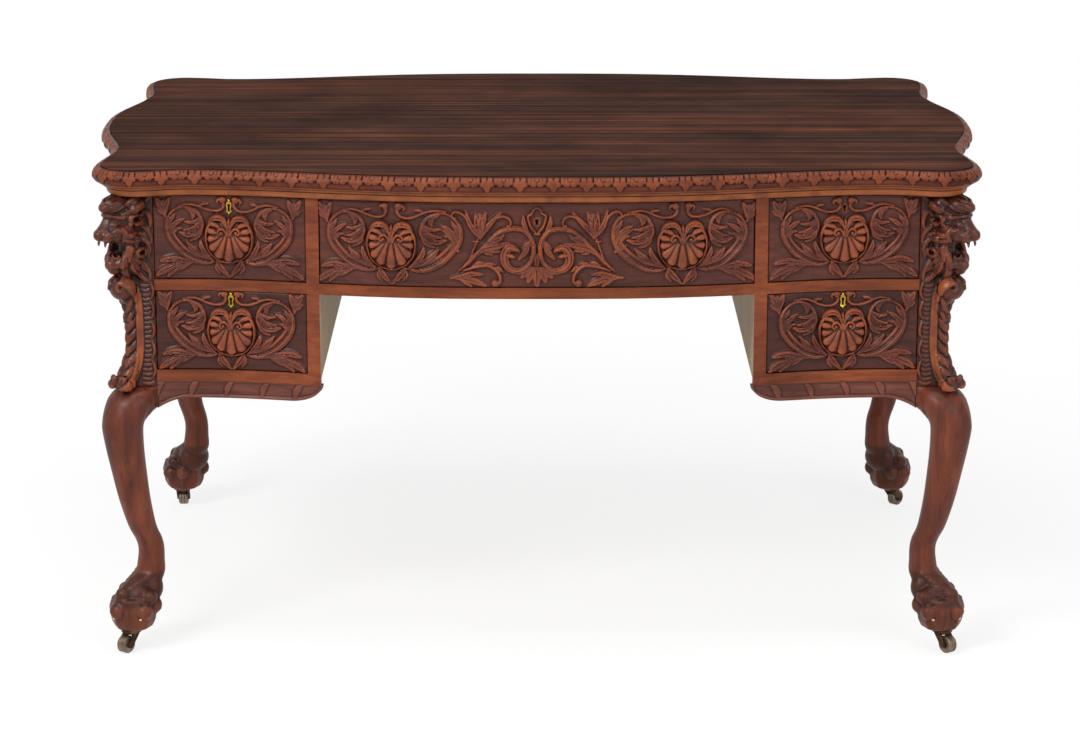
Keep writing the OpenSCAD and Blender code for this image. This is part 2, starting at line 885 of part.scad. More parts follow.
module caster_sockets() {
    color(brass_old)
        for (c = CORNERS)
            at_corner(c) translate([caster_reach, 0, 0]) caster_socket();
}

// Moves children made with the wheel trailing along +X to a corner's caster
module at_caster(c) {
    out = caster_reach * cos(45);
    translate([c[1] * (post_x + out), c[2] * (post_y + out), 0])
        rotate([0, 0, c[3]])
            children();
}

// Side view of a cheek: from under the crown down to the axle's boss
module cheek_outline() {
    boss = axle_radius + 3;
    translate([caster_trail, axle_z])
        circle(boss);
    polygon([
        [-7, crown_low + 1], [8, crown_low + 1], [caster_trail + boss * 0.8, axle_z + boss * 0.6],
        [caster_trail - boss * 0.6, axle_z - boss * 0.8]
    ]);
}

// Crown, pin, two cheeks and the axle
module caster_horn() {
    cheek_in = wheel_width / 2 + side_play;
    color(brass_old) {
        translate([0, 0, crown_low])
            cylinder(h = crown_thickness, r = cheek_in + cheek_thickness + 0.6);
        translate([0, 0, crown_low])
            cylinder(h = crown_thickness + swivel_gap + plate_thickness + socket_length - 1 - pin_slack
                - 1, r = pin_radius);
        for (side = [-1, 1])
            translate([0, side * (cheek_in + cheek_thickness / 2) + cheek_thickness / 2, 0])
                rotate([90, 0, 0])
                    linear_extrude(cheek_thickness)
                        cheek_outline();
        translate([caster_trail, cheek_in + cheek_thickness, axle_z])
            rotate([90, 0, 0])
                cylinder(h = 2 * (cheek_in + cheek_thickness), r = axle_radius);
    }
}

// A wheel with two shallow grooves in its tread
module caster_wheel() {
    half = wheel_width / 2;
    tread = wheel_diameter / 2;
    groove = 0.8;
    color(brass_worn)
        translate([caster_trail, 0, axle_z])
            rotate([90, 0, 0])
                rotate_extrude()
                    polygon([
                        [axle_radius + running_fit, -half], [tread - 2, -half], [tread, -half + 2],
                        [tread, -3], [tread - groove, -2.4], [tread, -1.8],
                        [tread, 1.8], [tread - groove, 2.4], [tread, 3],
                        [tread, half - 2], [tread - 2, half], [axle_radius + running_fit, half]
                    ]);
}

desk_top();
carved_edge();
cornice_board();
mirror([1, 0, 0]) end_panel();  // end_panel_left
end_panel();  // end_panel_right
mirror([1, 0, 0]) kneehole_panel();  // kneehole_panel_left
kneehole_panel();  // kneehole_panel_right
stiles();
drawer_rails();
bottom_rails();
aprons();
dust_boards();
drawer_guides();
caster_sockets();
for (c = CORNERS) {
    at_corner(c) griffin();
    at_corner(c) leg();
    at_caster(c) caster_horn();
    at_caster(c) caster_wheel();
}
for (d = DRAWERS) {
    drawer_front(d);
    drawer_box(d);
    drawer_lock(d);
}
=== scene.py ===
"""Partners desk in carved mahogany: both faces worked alike, beast's-head corner posts,
cabriole legs with lion's paws, and brass casters."""
import json
import math

import bpy
import bmesh
import numpy as np
from mathutils import Matrix, Vector


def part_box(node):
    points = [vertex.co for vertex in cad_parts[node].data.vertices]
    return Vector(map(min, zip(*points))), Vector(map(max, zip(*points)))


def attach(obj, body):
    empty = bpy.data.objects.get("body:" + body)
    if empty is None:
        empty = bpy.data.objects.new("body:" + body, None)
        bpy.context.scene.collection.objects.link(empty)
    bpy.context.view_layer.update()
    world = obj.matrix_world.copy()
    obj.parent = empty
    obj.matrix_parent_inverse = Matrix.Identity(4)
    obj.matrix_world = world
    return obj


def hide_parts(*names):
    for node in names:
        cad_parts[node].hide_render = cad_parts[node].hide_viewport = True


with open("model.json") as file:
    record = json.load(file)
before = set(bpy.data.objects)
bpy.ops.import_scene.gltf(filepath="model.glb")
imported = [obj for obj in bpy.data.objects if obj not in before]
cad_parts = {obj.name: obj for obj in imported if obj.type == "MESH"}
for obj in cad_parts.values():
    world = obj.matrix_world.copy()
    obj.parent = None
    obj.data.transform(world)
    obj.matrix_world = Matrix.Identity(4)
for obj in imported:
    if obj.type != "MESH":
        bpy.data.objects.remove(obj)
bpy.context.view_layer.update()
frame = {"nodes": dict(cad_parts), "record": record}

bl_info = {
    "name": "Partners Desk",
    "version": (1, 0, 0),
    "blender": (4, 5, 0),
    "location": "3D View > Sidebar > Desk",
    "description": "Carved partners desk: drawers, mouldings, beast posts, paw legs and studio",
    "category": "Object",
}

MM = 0.001
CORNERS = {"front_left": (-1, -1), "front_right": (1, -1), "rear_left": (-1, 1), "rear_right": (1, 1)}
SIDES = ("front", "rear")
# Drawers of one side; left is towards -X on both sides
SPOTS = ("left_upper", "left_lower", "right_upper", "right_lower", "centre")
# Drawers whose keyhole has lost its plate
BARE = ("front_centre", "front_right_upper", "rear_centre")


# ---- sizes and colours ------------------------------------------------------------------------

def linear(value):
    """Linear red, green and blue of an sRGB hex value."""
    parts = [int(value[i:i + 2], 16) / 255 for i in (1, 3, 5)]
    return tuple(p / 12.92 if p <= 0.04045 else ((p + 0.055) / 1.055) ** 2.4 for p in parts)


def colour(label, text, value):
    """A colour setting, given as sRGB hex."""
    return bpy.props.FloatVectorProperty(
        name=label, description=text, subtype="COLOR", size=3, min=0, max=1, default=linear(value))


def distance(label, text, value):
    """A length setting, given in millimetres."""
    return bpy.props.FloatProperty(name=label, description=text, default=value * MM, unit="LENGTH")


class DeskSizes(bpy.types.PropertyGroup):
    carving_height: distance("Carving height", "How far the leaves stand off the ground of a drawer", 5.6)
    shell_height: distance("Shell height", "How far the shell pulls stand off the ground", 13)
    ground_depth: distance("Ground depth", "How far the ground is cut back from the rails", 1.2)
    small_step: distance("Carving step", "Spacing of the mesh over a small drawer", 1.0)
    centre_step: distance("Centre step", "Spacing of the mesh over the centre drawer", 1.05)
    leaf_pitch: distance("Leaf pitch", "Distance from leaf to leaf round the edge of the top", 50)
    sculpt_step: distance("Sculpture step", "Size of the facets of the corner posts", 1.65)
    paw_step: distance("Leg step", "Size of the facets of the legs and paws", 2.1)


class DeskColours(bpy.types.PropertyGroup):
    # also the tint of the painted shade in the carving's hollows
    carved_dark: colour("Carved ground", "Old wax and dirt in the hollows", "#391e19")
    carved_mid: colour("Carved wood", "Flat parts of the carving", "#5c2e25")
    carved_light: colour("Carved heights", "Worn tops of the carving", "#904a2a")
    rail_dark: colour("Rail grain", "Dark grain of the rails", "#612c1c")
    rail_light: colour("Rail wood", "Light grain of the rails", "#884828")
    top_dark: colour("Top grain", "Dark ribbons of the top", "#33211b")
    top_light: colour("Top wood", "Light ribbons of the top", "#462a20")
    floor: colour("Floor", "Studio floor", "#fbfbfb")


# ---- curves of the carcase, in millimetres ------------------------------------------------------

# Where the top's edge lies beside its bow, then the bow: its rise, half its length, and how full it is
FRONT_DIP, FRONT_BOW, FRONT_REACH, FRONT_FULLNESS = 424, 60, 530, 1.5
SIDE_DIP, SIDE_BOW, SIDE_REACH, SIDE_FULLNESS = 667, 40, 250, 1.3
# How far the carved faces stand back under the top
OVERHANG = 34
# Centre and radius of the rounded ear at each corner of the top
EAR_X, EAR_Y, EAR_RADIUS = 612, 372, 68


def bow(t, fullness):
    """A swell that is 1 in the middle and dies away at t = -1 and t = 1."""
    return (1 + np.cos(np.pi * np.minimum(np.abs(t), 1) ** fullness)) / 2


def rise(t):
    """An even climb from 0 at t = 0 to 1 at t = 1."""
    return (1 - np.cos(np.pi * np.clip(t, 0, 1))) / 2


def bow_y(x):
    """How far out the top reaches at the front, without its ears; the rear is alike."""
    return FRONT_DIP + FRONT_BOW * bow(x / FRONT_REACH, FRONT_FULLNESS)


def bow_x(y):
    """How far out the top reaches at the sides, without its ears."""
    return SIDE_DIP + SIDE_BOW * bow(y / SIDE_REACH, SIDE_FULLNESS)


def face_y(x):
    """How far out the drawer fronts lie."""
    return bow_y(x) - OVERHANG


def face_x(y):
    """How far out the end panels and their aprons lie."""
    return bow_x(y) - OVERHANG


def edge_y(x):
    """How far out the top reaches at the front, where it swells into its ears."""
    swell = EAR_Y + EAR_RADIUS - FRONT_DIP
    return bow_y(x) + swell * rise((np.abs(x) - FRONT_REACH) / (EAR_X - FRONT_REACH))


def edge_x(y):
    """How far out the top reaches at the sides, where it swells into its ears."""
    swell = EAR_X + EAR_RADIUS - SIDE_DIP
    return bow_x(y) + swell * rise((np.abs(y) - SIDE_REACH) / (EAR_Y - SIDE_REACH))


def quarter_outline(inset):
    """Points of the top's edge from the middle of the front to the middle of the right side."""
    steps = 1600
    x = np.linspace(0, EAR_X, steps)
    a = np.radians(np.linspace(-90, 0, steps // 3))[1:-1]
    y = np.linspace(-EAR_Y, 0, steps)
    radius = EAR_RADIUS - inset
    return np.vstack([
        np.column_stack([x, inset - edge_y(x)]),
        np.column_stack([EAR_X + radius * np.cos(a), -EAR_Y + radius * np.sin(a)]),
        np.column_stack([edge_x(y) - inset, y]),
    ])


def full_outline(inset):
    """Points all round the top's edge, moved in by inset."""
    q = quarter_outline(inset)
    right = np.vstack([q, (q * [1, -1])[::-1][1:]])
    return np.vstack([right[:-1], (right * [-1, 1])[::-1][:-1]])


def even(points, count):
    """The closed line through points, as count points evenly along it, and its length."""
    closed = np.vstack([points, points[:1]])
    run = np.concatenate([[0], np.cumsum(np.hypot(*np.diff(closed, axis=0).T))])
    at = np.linspace(0, run[-1], count, endpoint=False)
    spaced = np.column_stack([np.interp(at, run, closed[:, 0]), np.interp(at, run, closed[:, 1])])
    return spaced, run[-1]


# ---- carving: strokes of a gouge on a flat field, in millimetres ----------------------------------

def smooth(t):
    """A climb from 0 at t = 0 to 1 at t = 1 that starts and ends gently."""
    t = np.clip(t, 0, 1)
    return t * t * (3 - 2 * t)


def trace(points, steps=7):
    """A smooth line through rows of numbers; every column is smoothed alike."""
    p = np.array(points, float)
    q = np.vstack([2 * p[0] - p[1], p, 2 * p[-1] - p[-2]])
    t = np.linspace(0, 1, steps, endpoint=False)[:, None]
    parts = []
    for i in range(len(p) - 1):
        a, b, c, d = q[i:i + 4]
        parts.append(0.5 * (2 * b + (c - a) * t + (2 * a - 5 * b + 4 * c - d) * t ** 2
                            + (3 * b - a - 3 * c + d) * t ** 3))
    return np.vstack(parts + [p[-1:]])


def nearest(u, v, line):
    """For each point, how far along the line its nearest place is, and the distance to one side."""
    best = np.full(u.shape, 1e9)
    along = np.zeros(u.shape)
    side = np.zeros(u.shape)
    for i in range(len(line) - 1):
        a, d = line[i, :2], line[i + 1, :2] - line[i, :2]
        length = max(d @ d, 1e-9)
        t = np.clip(((u - a[0]) * d[0] + (v - a[1]) * d[1]) / length, 0, 1)
        du, dv = u - a[0] - t * d[0], v - a[1] - t * d[1]
        gap = du * du + dv * dv
        closer = gap < best
        best[closer] = gap[closer]
        along[closer] = (i + t)[closer]
        side[closer] = (d[0] * dv - d[1] * du)[closer]
    return along, np.copysign(np.sqrt(best), side)


def section_round(t):
    """Half a circle."""
    return np.sqrt(np.clip(1 - t * t, 0, 1))


def section_stem(t):
    """A plump stem with a fine line cut along its inner side."""
    return np.clip(1 - t * t, 0, 1) ** 0.42 * (1 - 0.3 * np.exp(-((np.abs(t) - 0.42) / 0.13) ** 2))


def section_leaf(t):
    """A plump leaf with a sunk midrib and fine veins beside it."""
    a = np.abs(t)
    veins = 0.3 * np.exp(-(a / 0.1) ** 2) + 0.15 * np.exp(-((a - 0.4) / 0.08) ** 2)
    return smooth((1 - a) / 0.34) * (1 - veins) * (1.1 - 0.34 * a * a)


def section_band(t):
    """A flat band with rounded edges and a low rim along each."""
    a = np.abs(t)
    return smooth((1 - a) / 0.28) * (0.9 + 0.1 * smooth((a - 0.45) / 0.3))


# Heights across a stroke, 1 at the top, for t from -1 at one edge to 1 at the other
SECTIONS = {"round": section_round, "stem": section_stem, "leaf": section_leaf, "band": section_band}


class Field:
    """Heights of a carved surface over points (u, v), how much darker it is painted there, mostly as painted
    shade in holes and hollows, and how rubbed it is. Each row of a stroke's points is u, v, half width and
    height, or depth where it is cut."""

    def __init__(self, u, v):
        self.u, self.v = u, v
        self.h = np.zeros(u.shape)
        self.shade = np.zeros(u.shape)
        self.rub = np.zeros(u.shape)

    def along(self, points):
        """The points of the field near a stroke, how far across it each lies (-1 and 1 at its
        edges), and the stroke's height there."""
        line = trace(points)
        pad = line[:, 2].max()
        lo, hi = line[:, :2].min(0) - pad, line[:, :2].max(0) + pad
        near = (self.u > lo[0]) & (self.u < hi[0]) & (self.v > lo[1]) & (self.v < hi[1])
        run, off = nearest(self.u[near], self.v[near], line)
        index = np.arange(len(line))
        width = np.maximum(np.interp(run, index, line[:, 2]), 0.1)
        return near, off / width, np.interp(run, index, line[:, 3])

    def stroke(self, points, section="round"):
        """Raises a tapering stroke."""
        near, t, height = self.along(points)
        h = np.where(np.abs(t) < 1, height * SECTIONS[section](t), 0)
        self.h[near] = np.maximum(self.h[near], h)

    def leaf(self, points):
        """Raises a veined leaf on a broader, lower mass that joins it to its neighbours. Its tip is
        never sharper than the carver's gouge."""
        u, v, w, h = points[-1]
        points = [*points[:-1], (u, v, max(w, 2.3), max(h, 2.4))]
        self.stroke([(u, v, 1.3 * w, 0.42 * h) for u, v, w, h in points])
        self.stroke(points, "leaf")

    def ball(self, u, v, radius, height):
        """Raises a round boss."""
        d = np.hypot(self.u - u, self.v - v) / radius
        self.h = np.maximum(self.h, height * section_round(d))

    def cut(self, points):
        """Lowers a tapering groove."""
        near, t, depth = self.along(points)
        self.h[near] -= depth * smooth(1 - np.abs(t))

    def darken(self, amount):
        """Paints the surface darker, where it isn't darker yet: mostly painted shade in holes and hollows."""
        self.shade = np.maximum(self.shade, amount)


def shell(f):
    """The scallop pull, its rolled rim and its crown, round (0, 0), for the half where u < 0."""
    f.ball(0, -2, 34.5, 7.5)
    f.stroke([(0, -36.5, 1.6, 6), (-11, -34.8, 1.6, 6), (-22.5, -28.8, 1.6, 6), (-31.8, -18, 1.7, 6.5),
              (-35.8, -4, 1.8, 7), (-35.8, 9, 2.2, 7.5), (-32.5, 19, 2.6, 8), (-26.5, 25.5, 2.4, 7.5)])
    # the small volute at each side of the waist
    f.stroke([(-3, 7, 2.2, 12), (-5, 13, 2.8, 13), (-10, 17, 3, 13.2), (-15.5, 15, 2.8, 13),
              (-17, 10, 2.6, 12.6), (-13.5, 6.8, 2.2, 12.4)])
    f.ball(-11.6, 10.6, 4, 14)
    for flute in (
        [(0, 3, 2.8, 9.5), (0, -7, 5.8, 12.2), (0, -18, 8, 13.4), (0, -27.5, 8.4, 12.6)],
        [(-5.5, 4, 2.6, 9.5), (-9, -5, 5.4, 12), (-13, -16, 7.6, 13), (-15.4, -22.6, 8, 12.2)],
        [(-11, 3, 2.4, 9), (-16, -3, 5, 11.6), (-22.5, -10.5, 7.2, 12.2), (-24.6, -12.5, 7.4, 11.6)],
        [(-17, 3.5, 2.4, 8.5), (-23, 1.5, 4.8, 10.8), (-28.6, .6, 6, 10.8)],
        [(-17, 10, 2.4, 9.5), (-23, 12, 4.8, 11.6), (-29, 13, 5.6, 10.6)],
        [(-13, 17, 2.4, 10), (-19, 21.5, 4.4, 11), (-26, 23.5, 4.6, 9.4)],
    ):
        f.stroke(flute)
    # the fluted waist, spreading into a fan
    for drift, width in ((0, 1.9), (-2.6, 1.6), (-4.6, 1.3)):
        f.stroke([(0.7 * drift, 5.5, width, 12), (0.6 * drift, 14, width, 13),
                  (drift, 21, 1.2 * width, 12.6), (2.1 * drift, 28, 1.5 * width, 10),
                  (2.6 * drift, 31, width, 8.5)])
    f.leaf([(-4, 26, 3, 8.5), (-10, 31.5, 5, 9.8), (-18, 33.4, 5.8, 9.8), (-26, 30.5, 4.8, 8.8),
            (-31, 24.5, 2.4, 6)])
    f.cut([(-2, 6.8, .7, .6), (0, 6.8, 1.2, 1.8)])


def scroll(f):
    """The big C-scroll beside a shell, its stem, bud and inner leaves, for the half where u < 0."""
    f.stroke([(-24, -34, 2, 1.4), (-42, -33, 6, 2.2), (-58, -27, 7, 2.4), (-73, -16.5, 7.4, 2.4),
              (-85, -2, 7, 2.4), (-91, 13, 6, 2.2), (-91, 28, 4, 1.8), (-86, 37, 2, 1.2)])
    f.stroke([(-22, -35, 1.6, 3.4), (-34, -37, 3.6, 4.8), (-50, -34.8, 4.6, 5), (-66, -26.8, 4.9, 5),
              (-80, -14.2, 4.9, 5), (-90, -1, 4.7, 4.9), (-95, 13, 4.3, 4.8), (-95, 28, 3.5, 4.6),
              (-89, 40, 2.6, 4.2), (-79, 47.5, 2.1, 4), (-68, 49.8, 2.1, 4), (-58, 47.5, 3, 4),
              (-49, 41.5, 3.6, 4), (-44, 33, 3.4, 4), (-42.7, 26, 2.6, 3.4)], "stem")
    f.stroke([(-30, -32, 1, 3), (-47, -28.4, 3, 4), (-61, -20.6, 3.5, 4.2), (-74, -9, 3.6, 4.2),
              (-83.4, 3, 3.4, 4.2), (-87.5, 15, 2.8, 4), (-87, 28, 1.8, 3.2), (-83, 36, .8, 2)])
    f.stroke([(-76, 52, 1.2, 2.5), (-60, 54, 2.1, 3.4), (-48, 51.5, 2.3, 3.8), (-37, 46.5, 2.5, 4),
              (-25, 43.2, 2.5, 4), (-14, 44.4, 2.7, 4), (-8.5, 50, 2.8, 4.2), (-8, 56, 2.8, 4)])
    f.ball(-10, 60, 6.2, 5)
    f.stroke([(-9.5, 58.5, 3, 5), (-15, 61, 3, 4.4), (-18, 57.5, 2.2, 3.6), (-16, 54, 1.4, 2.6)])
    f.leaf([(-48, 50.5, 1.2, 2), (-40, 53.8, 3, 3), (-33, 54.6, .8, 1.2)])
    for leaf in (
        # the big leaf that turns under inside the top of the C, and its two strands
        [(-42.7, 33, 2.8, 4), (-43.5, 19.5, 5.6, 5), (-52, 9.5, 6.6, 5), (-65, 6.5, 5.4, 4.4),
         (-76, 9.5, 2.6, 3)],
        [(-43.5, 26, 3, 4.4), (-50, 19.5, 5.6, 5.4), (-59, 14.5, 4.6, 4.8), (-70, 13, 1.2, 2.6)],
        [(-44, 31, 3, 4), (-54, 26, 4.2, 4.6), (-62, 25.5, 3, 3.8), (-68, 26.5, 1, 2)],
        [(-42, 17, 2, 3.6), (-46, 8, 4.6, 4), (-52, 1.5, 3.6, 3.4), (-59, -2, 1, 1.8)],
        [(-66, 47, 1.4, 2.4), (-58, 44, 4.2, 3.4), (-54.5, 37, 4.6, 3.4), (-56, 31, 1.4, 1.8)],
        # lobes growing from the side of the C
        [(-96, 8, 2, 3.4), (-93, 23, 5, 4.4), (-87, 32, 4.2, 3.8), (-84, 38, 1, 1.8)],
        [(-95, 7, 2, 3.4), (-86, 20, 5.2, 4.8), (-77, 27.5, 4.4, 4), (-70, 30.5, 1, 1.8)],
        [(-94, 5, 2, 3.4), (-86, 11, 4.8, 4.2), (-80, 15, 3.8, 3.6), (-74, 15.5, 1, 1.8)],
        # the leaf that points up from the foot of the C
        [(-24.5, -33, 1.6, 3.6), (-42, -27, 5.2, 4.8), (-56, -16, 6.6, 4.4), (-65, -5.5, 1.2, 1.8)],
        [(-25, -33, 1.6, 3.6), (-37, -22, 5.2, 4.8), (-43, -12, 5, 4.2), (-44.5, -3.5, 1.2, 1.8)],
        [(-38, -30, 2, 3.6), (-53, -24, 4.6, 4.2), (-64, -17.5, 1.2, 2)],
        # the hanging leaf under the shell
        [(-18, -35.5, 4, 4), (-12, -46, 6, 4.8), (-5, -54, 3.6, 3.8), (-1.5, -59, 1, 1.8)],
        [(-19, -37, 2.4, 3.4), (-20, -46, 4, 3.8), (-15.5, -54, 1.2, 1.8)],
    ):
        f.leaf(leaf)
    for groove in (
        [(-43.5, 28, .3, .2), (-47, 17, .8, 1), (-55, 10.5, .9, 1), (-68, 9, .3, .2)],
        [(-44, 24, .3, .2), (-51, 15.5, .8, .9), (-61, 11, .8, .8), (-72, 11.5, .3, .2)],
        [(-28, -33, .3, .2), (-43, -24, .9, 1), (-53, -14, .8, .8), (-60, -7, .3, .2)],
        [(-30, -33, .3, .2), (-46, -29, .9, 1), (-57, -21, .3, .2)],
        [(-94, 10, .3, .2), (-87, 24, .9, 1), (-81, 30, .3, .2)],
        [(-17, -38, .4, .3), (-13, -46, .9, 1), (-7, -53, .4, .3)],
    ):
        f.cut(groove)


def corner_leaves(f):
    """The three-lobed leaf above and the spray below at the drawer's end, where u < 0."""
    for leaf in (
        [(-98, 34, 2, 3), (-101, 44, 5, 4), (-106, 54, 6.6, 4.4), (-110, 61, 3.6, 3)],
        [(-98, 36, 2, 3), (-98, 47, 5.6, 4.2), (-95, 56, 5.4, 4), (-92.5, 61.5, 3, 2.8)],
        [(-99, 40, 3, 3), (-102, 50, 6, 4.2), (-101.5, 58, 3.8, 3)],
        [(-100, 39, 3, 3), (-106, 44, 4.6, 3.8), (-110, 47, 2.8, 2.8)],
        [(-50, -38, 2, 3), (-66, -34.5, 4.6, 4), (-84, -31.5, 6.6, 4.6), (-98, -32.5, 5.4, 4),
         (-106, -35, 3, 3)],
        [(-60, -38, 2.4, 3.4), (-80, -39.5, 6, 4.6), (-95, -45.5, 7.2, 4.8), (-106, -52, 5.8, 4),
         (-111.5, -57.5, 3, 3)],
        [(-72, -40, 2.4, 3.4), (-84, -46, 6, 4.2), (-92, -53, 4.8, 3.6), (-95.5, -58, 2.6, 2.8)],
        [(-62, -39.5, 2, 3), (-73, -44, 4.6, 3.8), (-80, -49, 2.6, 2.8)],
    ):
        f.leaf(leaf)
    for groove in (
        [(-78, -37.5, .3, .2), (-92, -40, .9, 1.1), (-104, -48, .3, .2)],
        [(-74, -36.5, .3, .2), (-90, -36, .8, .9), (-101, -38, .3, .2)],
        [(-76, -41, .3, .2), (-86, -46, .8, .9), (-91, -52, .3, .2)],
    ):
        f.cut(groove)


def centre_work(f):
    """Lyre, tulips, sprays and palmette between the two shells of a centre drawer, where u < 0."""
    f.stroke([(-119, -39.5, 1.5, 2.5), (-105, -27, 3, 4.4), (-93, -13, 3.6, 5), (-77, 3, 4, 5),
              (-64, 16.5, 4, 5), (-51, 25, 4, 5), (-35.5, 28.3, 4.2, 5), (-19, 25, 4.2, 5),
              (-9, 14, 4, 5), (-5, 0, 3.8, 5), (-6, -16.5, 3.8, 5), (-13, -29, 4, 5),
              (-25, -36.5, 4.6, 5), (-38, -36, 5.4, 5), (-47, -28, 6.6, 5.2), (-49.5, -17, 7.6, 5.6),
              (-47, -7, 7.6, 5.8), (-40, -1.5, 6.6, 6), (-31, -4, 4.4, 5)], "stem")
    f.stroke([(-46, -13, 3, 5.6), (-38, -14.5, 4, 6.4), (-34, -16, 2.4, 5)])
    f.stroke([(-36, -3, 2.4, 6), (-29, -4.5, 3.6, 6.2), (-26, -8, 2, 4)])
    leaves = (
        [(-92, -13, 1.5, 3.5), (-78, -2.5, 4.6, 5.2), (-62, 1.5, 4.8, 4.8), (-42, 5, .8, 1.8)],
        [(-80, 0, 1.5, 3.5), (-66, 9.5, 4.4, 5), (-56, 13, 3.4, 4), (-50, 19, .8, 1.8)],
        [(-78, -4, 1.5, 3.5), (-68, -4.5, 4.2, 4.8), (-57, -7, .8, 1.8)],
        [(-82, -6, 1.5, 3), (-76, -9, 3.2, 4), (-69, -11.5, .8, 1.8)],
        [(-8, 10, 1.2, 3), (-15, 3, 3, 4), (-21, -3, .8, 1.8)],
        [(-9, 4, 1.2, 3), (-17, -8, 4, 4), (-26.5, -19.5, .8, 1.8)],
        [(-86, 16, 3, 4.5), (-95, 26, 3.8, 5.2), (-102, 38, 3.4, 5), (-107, 55, .8, 2)],
        [(-86, 16, 3, 4.5), (-76, 29, 3.8, 5.2), (-67, 39, 3.2, 5), (-55, 51, .8, 2)],
        [(-86, 18, 3, 4), (-90, 34, 4.6, 4.6), (-92, 50, .8, 2)],
        [(-86, 18, 3, 4), (-81, 34, 4.6, 4.8), (-77, 51, .8, 2)],
        [(-131, -48.5, 1.5, 3), (-112, -46, 3.6, 4.4), (-98, -42.5, 3.8, 4), (-82.5, -43, .8, 1.8)],
        [(-124, -49, 1.5, 3), (-104, -50.5, 4.2, 4.6), (-89, -55, 4, 4), (-77.5, -60.5, .8, 1.8)],
        [(-118, -50, 1.5, 3), (-106, -55, 3.6, 4), (-99, -61.5, .8, 1.8)],
        [(-96, -30, 1.5, 3), (-88, -26, 3, 4), (-81, -25.5, .8, 2)],
        [(-82, -29, 1.5, 3), (-72, -27, 3, 4), (-64, -27.5, .8, 2)],
        [(-67, -31, 1.5, 3), (-58, -34, 3, 4), (-53, -38, .8, 2)],
        [(0, -34, 2, 3.5), (0, -46, 5.4, 4.8), (0, -58, 3.4, 3)],
        [(-2, -35, 2, 3.5), (-9, -43, 5.6, 4.6), (-13, -53, 2.6, 2.8)],
        [(-3, -34, 2, 3.5), (-15, -40, 5.6, 4.4), (-22, -46, 2.6, 2.8)],
        [(-6, -33, 2, 3.5), (-20, -37.5, 4.2, 4.2), (-31, -41, 2, 2.4)],
        [(0, -12, 1.2, 2.5), (0, -24, 3.4, 4), (0, -33, 1.5, 2.5)],
        [(-12, 22, 1, 2.5), (-19, 34, 3.4, 4), (-20.5, 46, .8, 1.8)],
        [(-120, -7, 1.5, 3.4), (-123, 8, 4.6, 4.8), (-132, 20, 4.4, 4), (-143, 25, .8, 1.8)],
        [(-118, -8, 1.5, 3.4), (-127, -1, 4, 4.2), (-134, 2, .8, 1.8)],
    )
    for leaf in leaves:
        f.leaf([(u, v, 1.45 * w, h) for u, v, w, h in leaf])
    f.stroke([(-86, 13, 3, 3), (-85.5, 24, 9, 4), (-84.5, 36, 10, 3.8), (-84, 45, 7, 2.6)])
    f.stroke([(-85, 22, 3, 4.6), (-84.5, 34, 6.4, 5.4), (-84.5, 44, 3, 4)], "leaf")
    f.cut([(-90.5, 22, .6, .6), (-91.5, 36, 1, 1.4), (-88, 48, .6, .6)])
    f.cut([(-79.5, 22, .6, .6), (-77.5, 36, 1, 1.4), (-81, 48, .6, .6)])
    f.stroke([(-103, 36, 2, 4.5), (-108, 46, 2.4, 5), (-116, 52.5, 2.4, 5), (-125, 53, 2.2, 4.6),
              (-129, 48, 1.9, 4.2), (-125.5, 44.5, 1.5, 3.5)])
    f.stroke([(-64, 42, 2, 4.5), (-56, 46, 2.3, 5), (-47, 46, 2.3, 5), (-41, 42, 2.2, 4.6),
              (-39.5, 35, 1.8, 4), (-43, 31.5, 1.4, 3.4)])
    f.ball(-124, 44, 2.4, 5)
    f.ball(-44, 32, 2.4, 4.6)
    f.stroke([(-88, 15, 1.4, 3), (-92, 6, 1.8, 3.4), (-97, -8, 1.9, 3.4), (-104, -25, 1.4, 2.6)])
    f.stroke([(-97, 8.5, 1.2, 3), (-92.5, 7.5, 2, 4), (-88, 8.5, 1.2, 3)])
    f.stroke([(-111, -38, 2, 3), (-93, -31.5, 2.7, 4.6), (-75, -29.5, 3, 5), (-63.5, -34.5, 3, 5),
              (-56.5, -44, 2.9, 5), (-56, -54, 2.7, 4.6), (-61, -60, 2.4, 4)])
    f.ball(-63, -56.5, 6, 6)
    f.stroke([(0, 19.5, 2.5, 4), (-4, 19.5, 2, 4)])
    f.stroke([(0, 60, 1.8, 3), (-5, 57, 2, 4), (-8, 51, 2.2, 4.4), (-13, 48, 2.2, 4.4),
              (-13, 42, 2.2, 4.4), (-9, 31, 2.2, 4.4), (-2, 22, 2, 4)])


# ---- meshes ---------------------------------------------------------------------------------------

def coords(mesh):
    """Places of a mesh's vertices."""
    co = np.empty(len(mesh.vertices) * 3, np.float32)
    mesh.vertices.foreach_get("co", co)
    return co.reshape(-1, 3).astype(float)


def set_coords(mesh, co):
    """Moves a mesh's vertices."""
    mesh.vertices.foreach_set("co", co.astype(np.float32).ravel())
    mesh.update()


def normals_of(mesh):
    """Directions in which a mesh's vertices face."""
    n = np.empty(len(mesh.vertices) * 3, np.float32)
    mesh.vertices.foreach_get("normal", n)
    return n.reshape(-1, 3).astype(float)


def put_value(mesh, name, values):
    """Stores one number per vertex for the materials to read."""
    layer = mesh.attributes.get(name) or mesh.attributes.new(name, "FLOAT", "POINT")
    layer.data.foreach_set("value", values.astype(np.float32))


def values_of(mesh, name):
    """The numbers stored on a mesh's vertices."""
    values = np.empty(len(mesh.vertices), np.float32)
    mesh.attributes[name].data.foreach_get("value", values)
    return values.astype(float)


def mesh_from(bm, name):
    """Turns a bmesh into a mesh and frees it."""
    mesh = bpy.data.meshes.new(name)
    bm.to_mesh(mesh)
    bm.free()
    return mesh


def new_object(name, data):
    """Puts a new object with this mesh, lamp or camera in the scene."""
    obj = bpy.data.objects.new(name, data)
    bpy.context.scene.collection.objects.link(obj)
    return obj


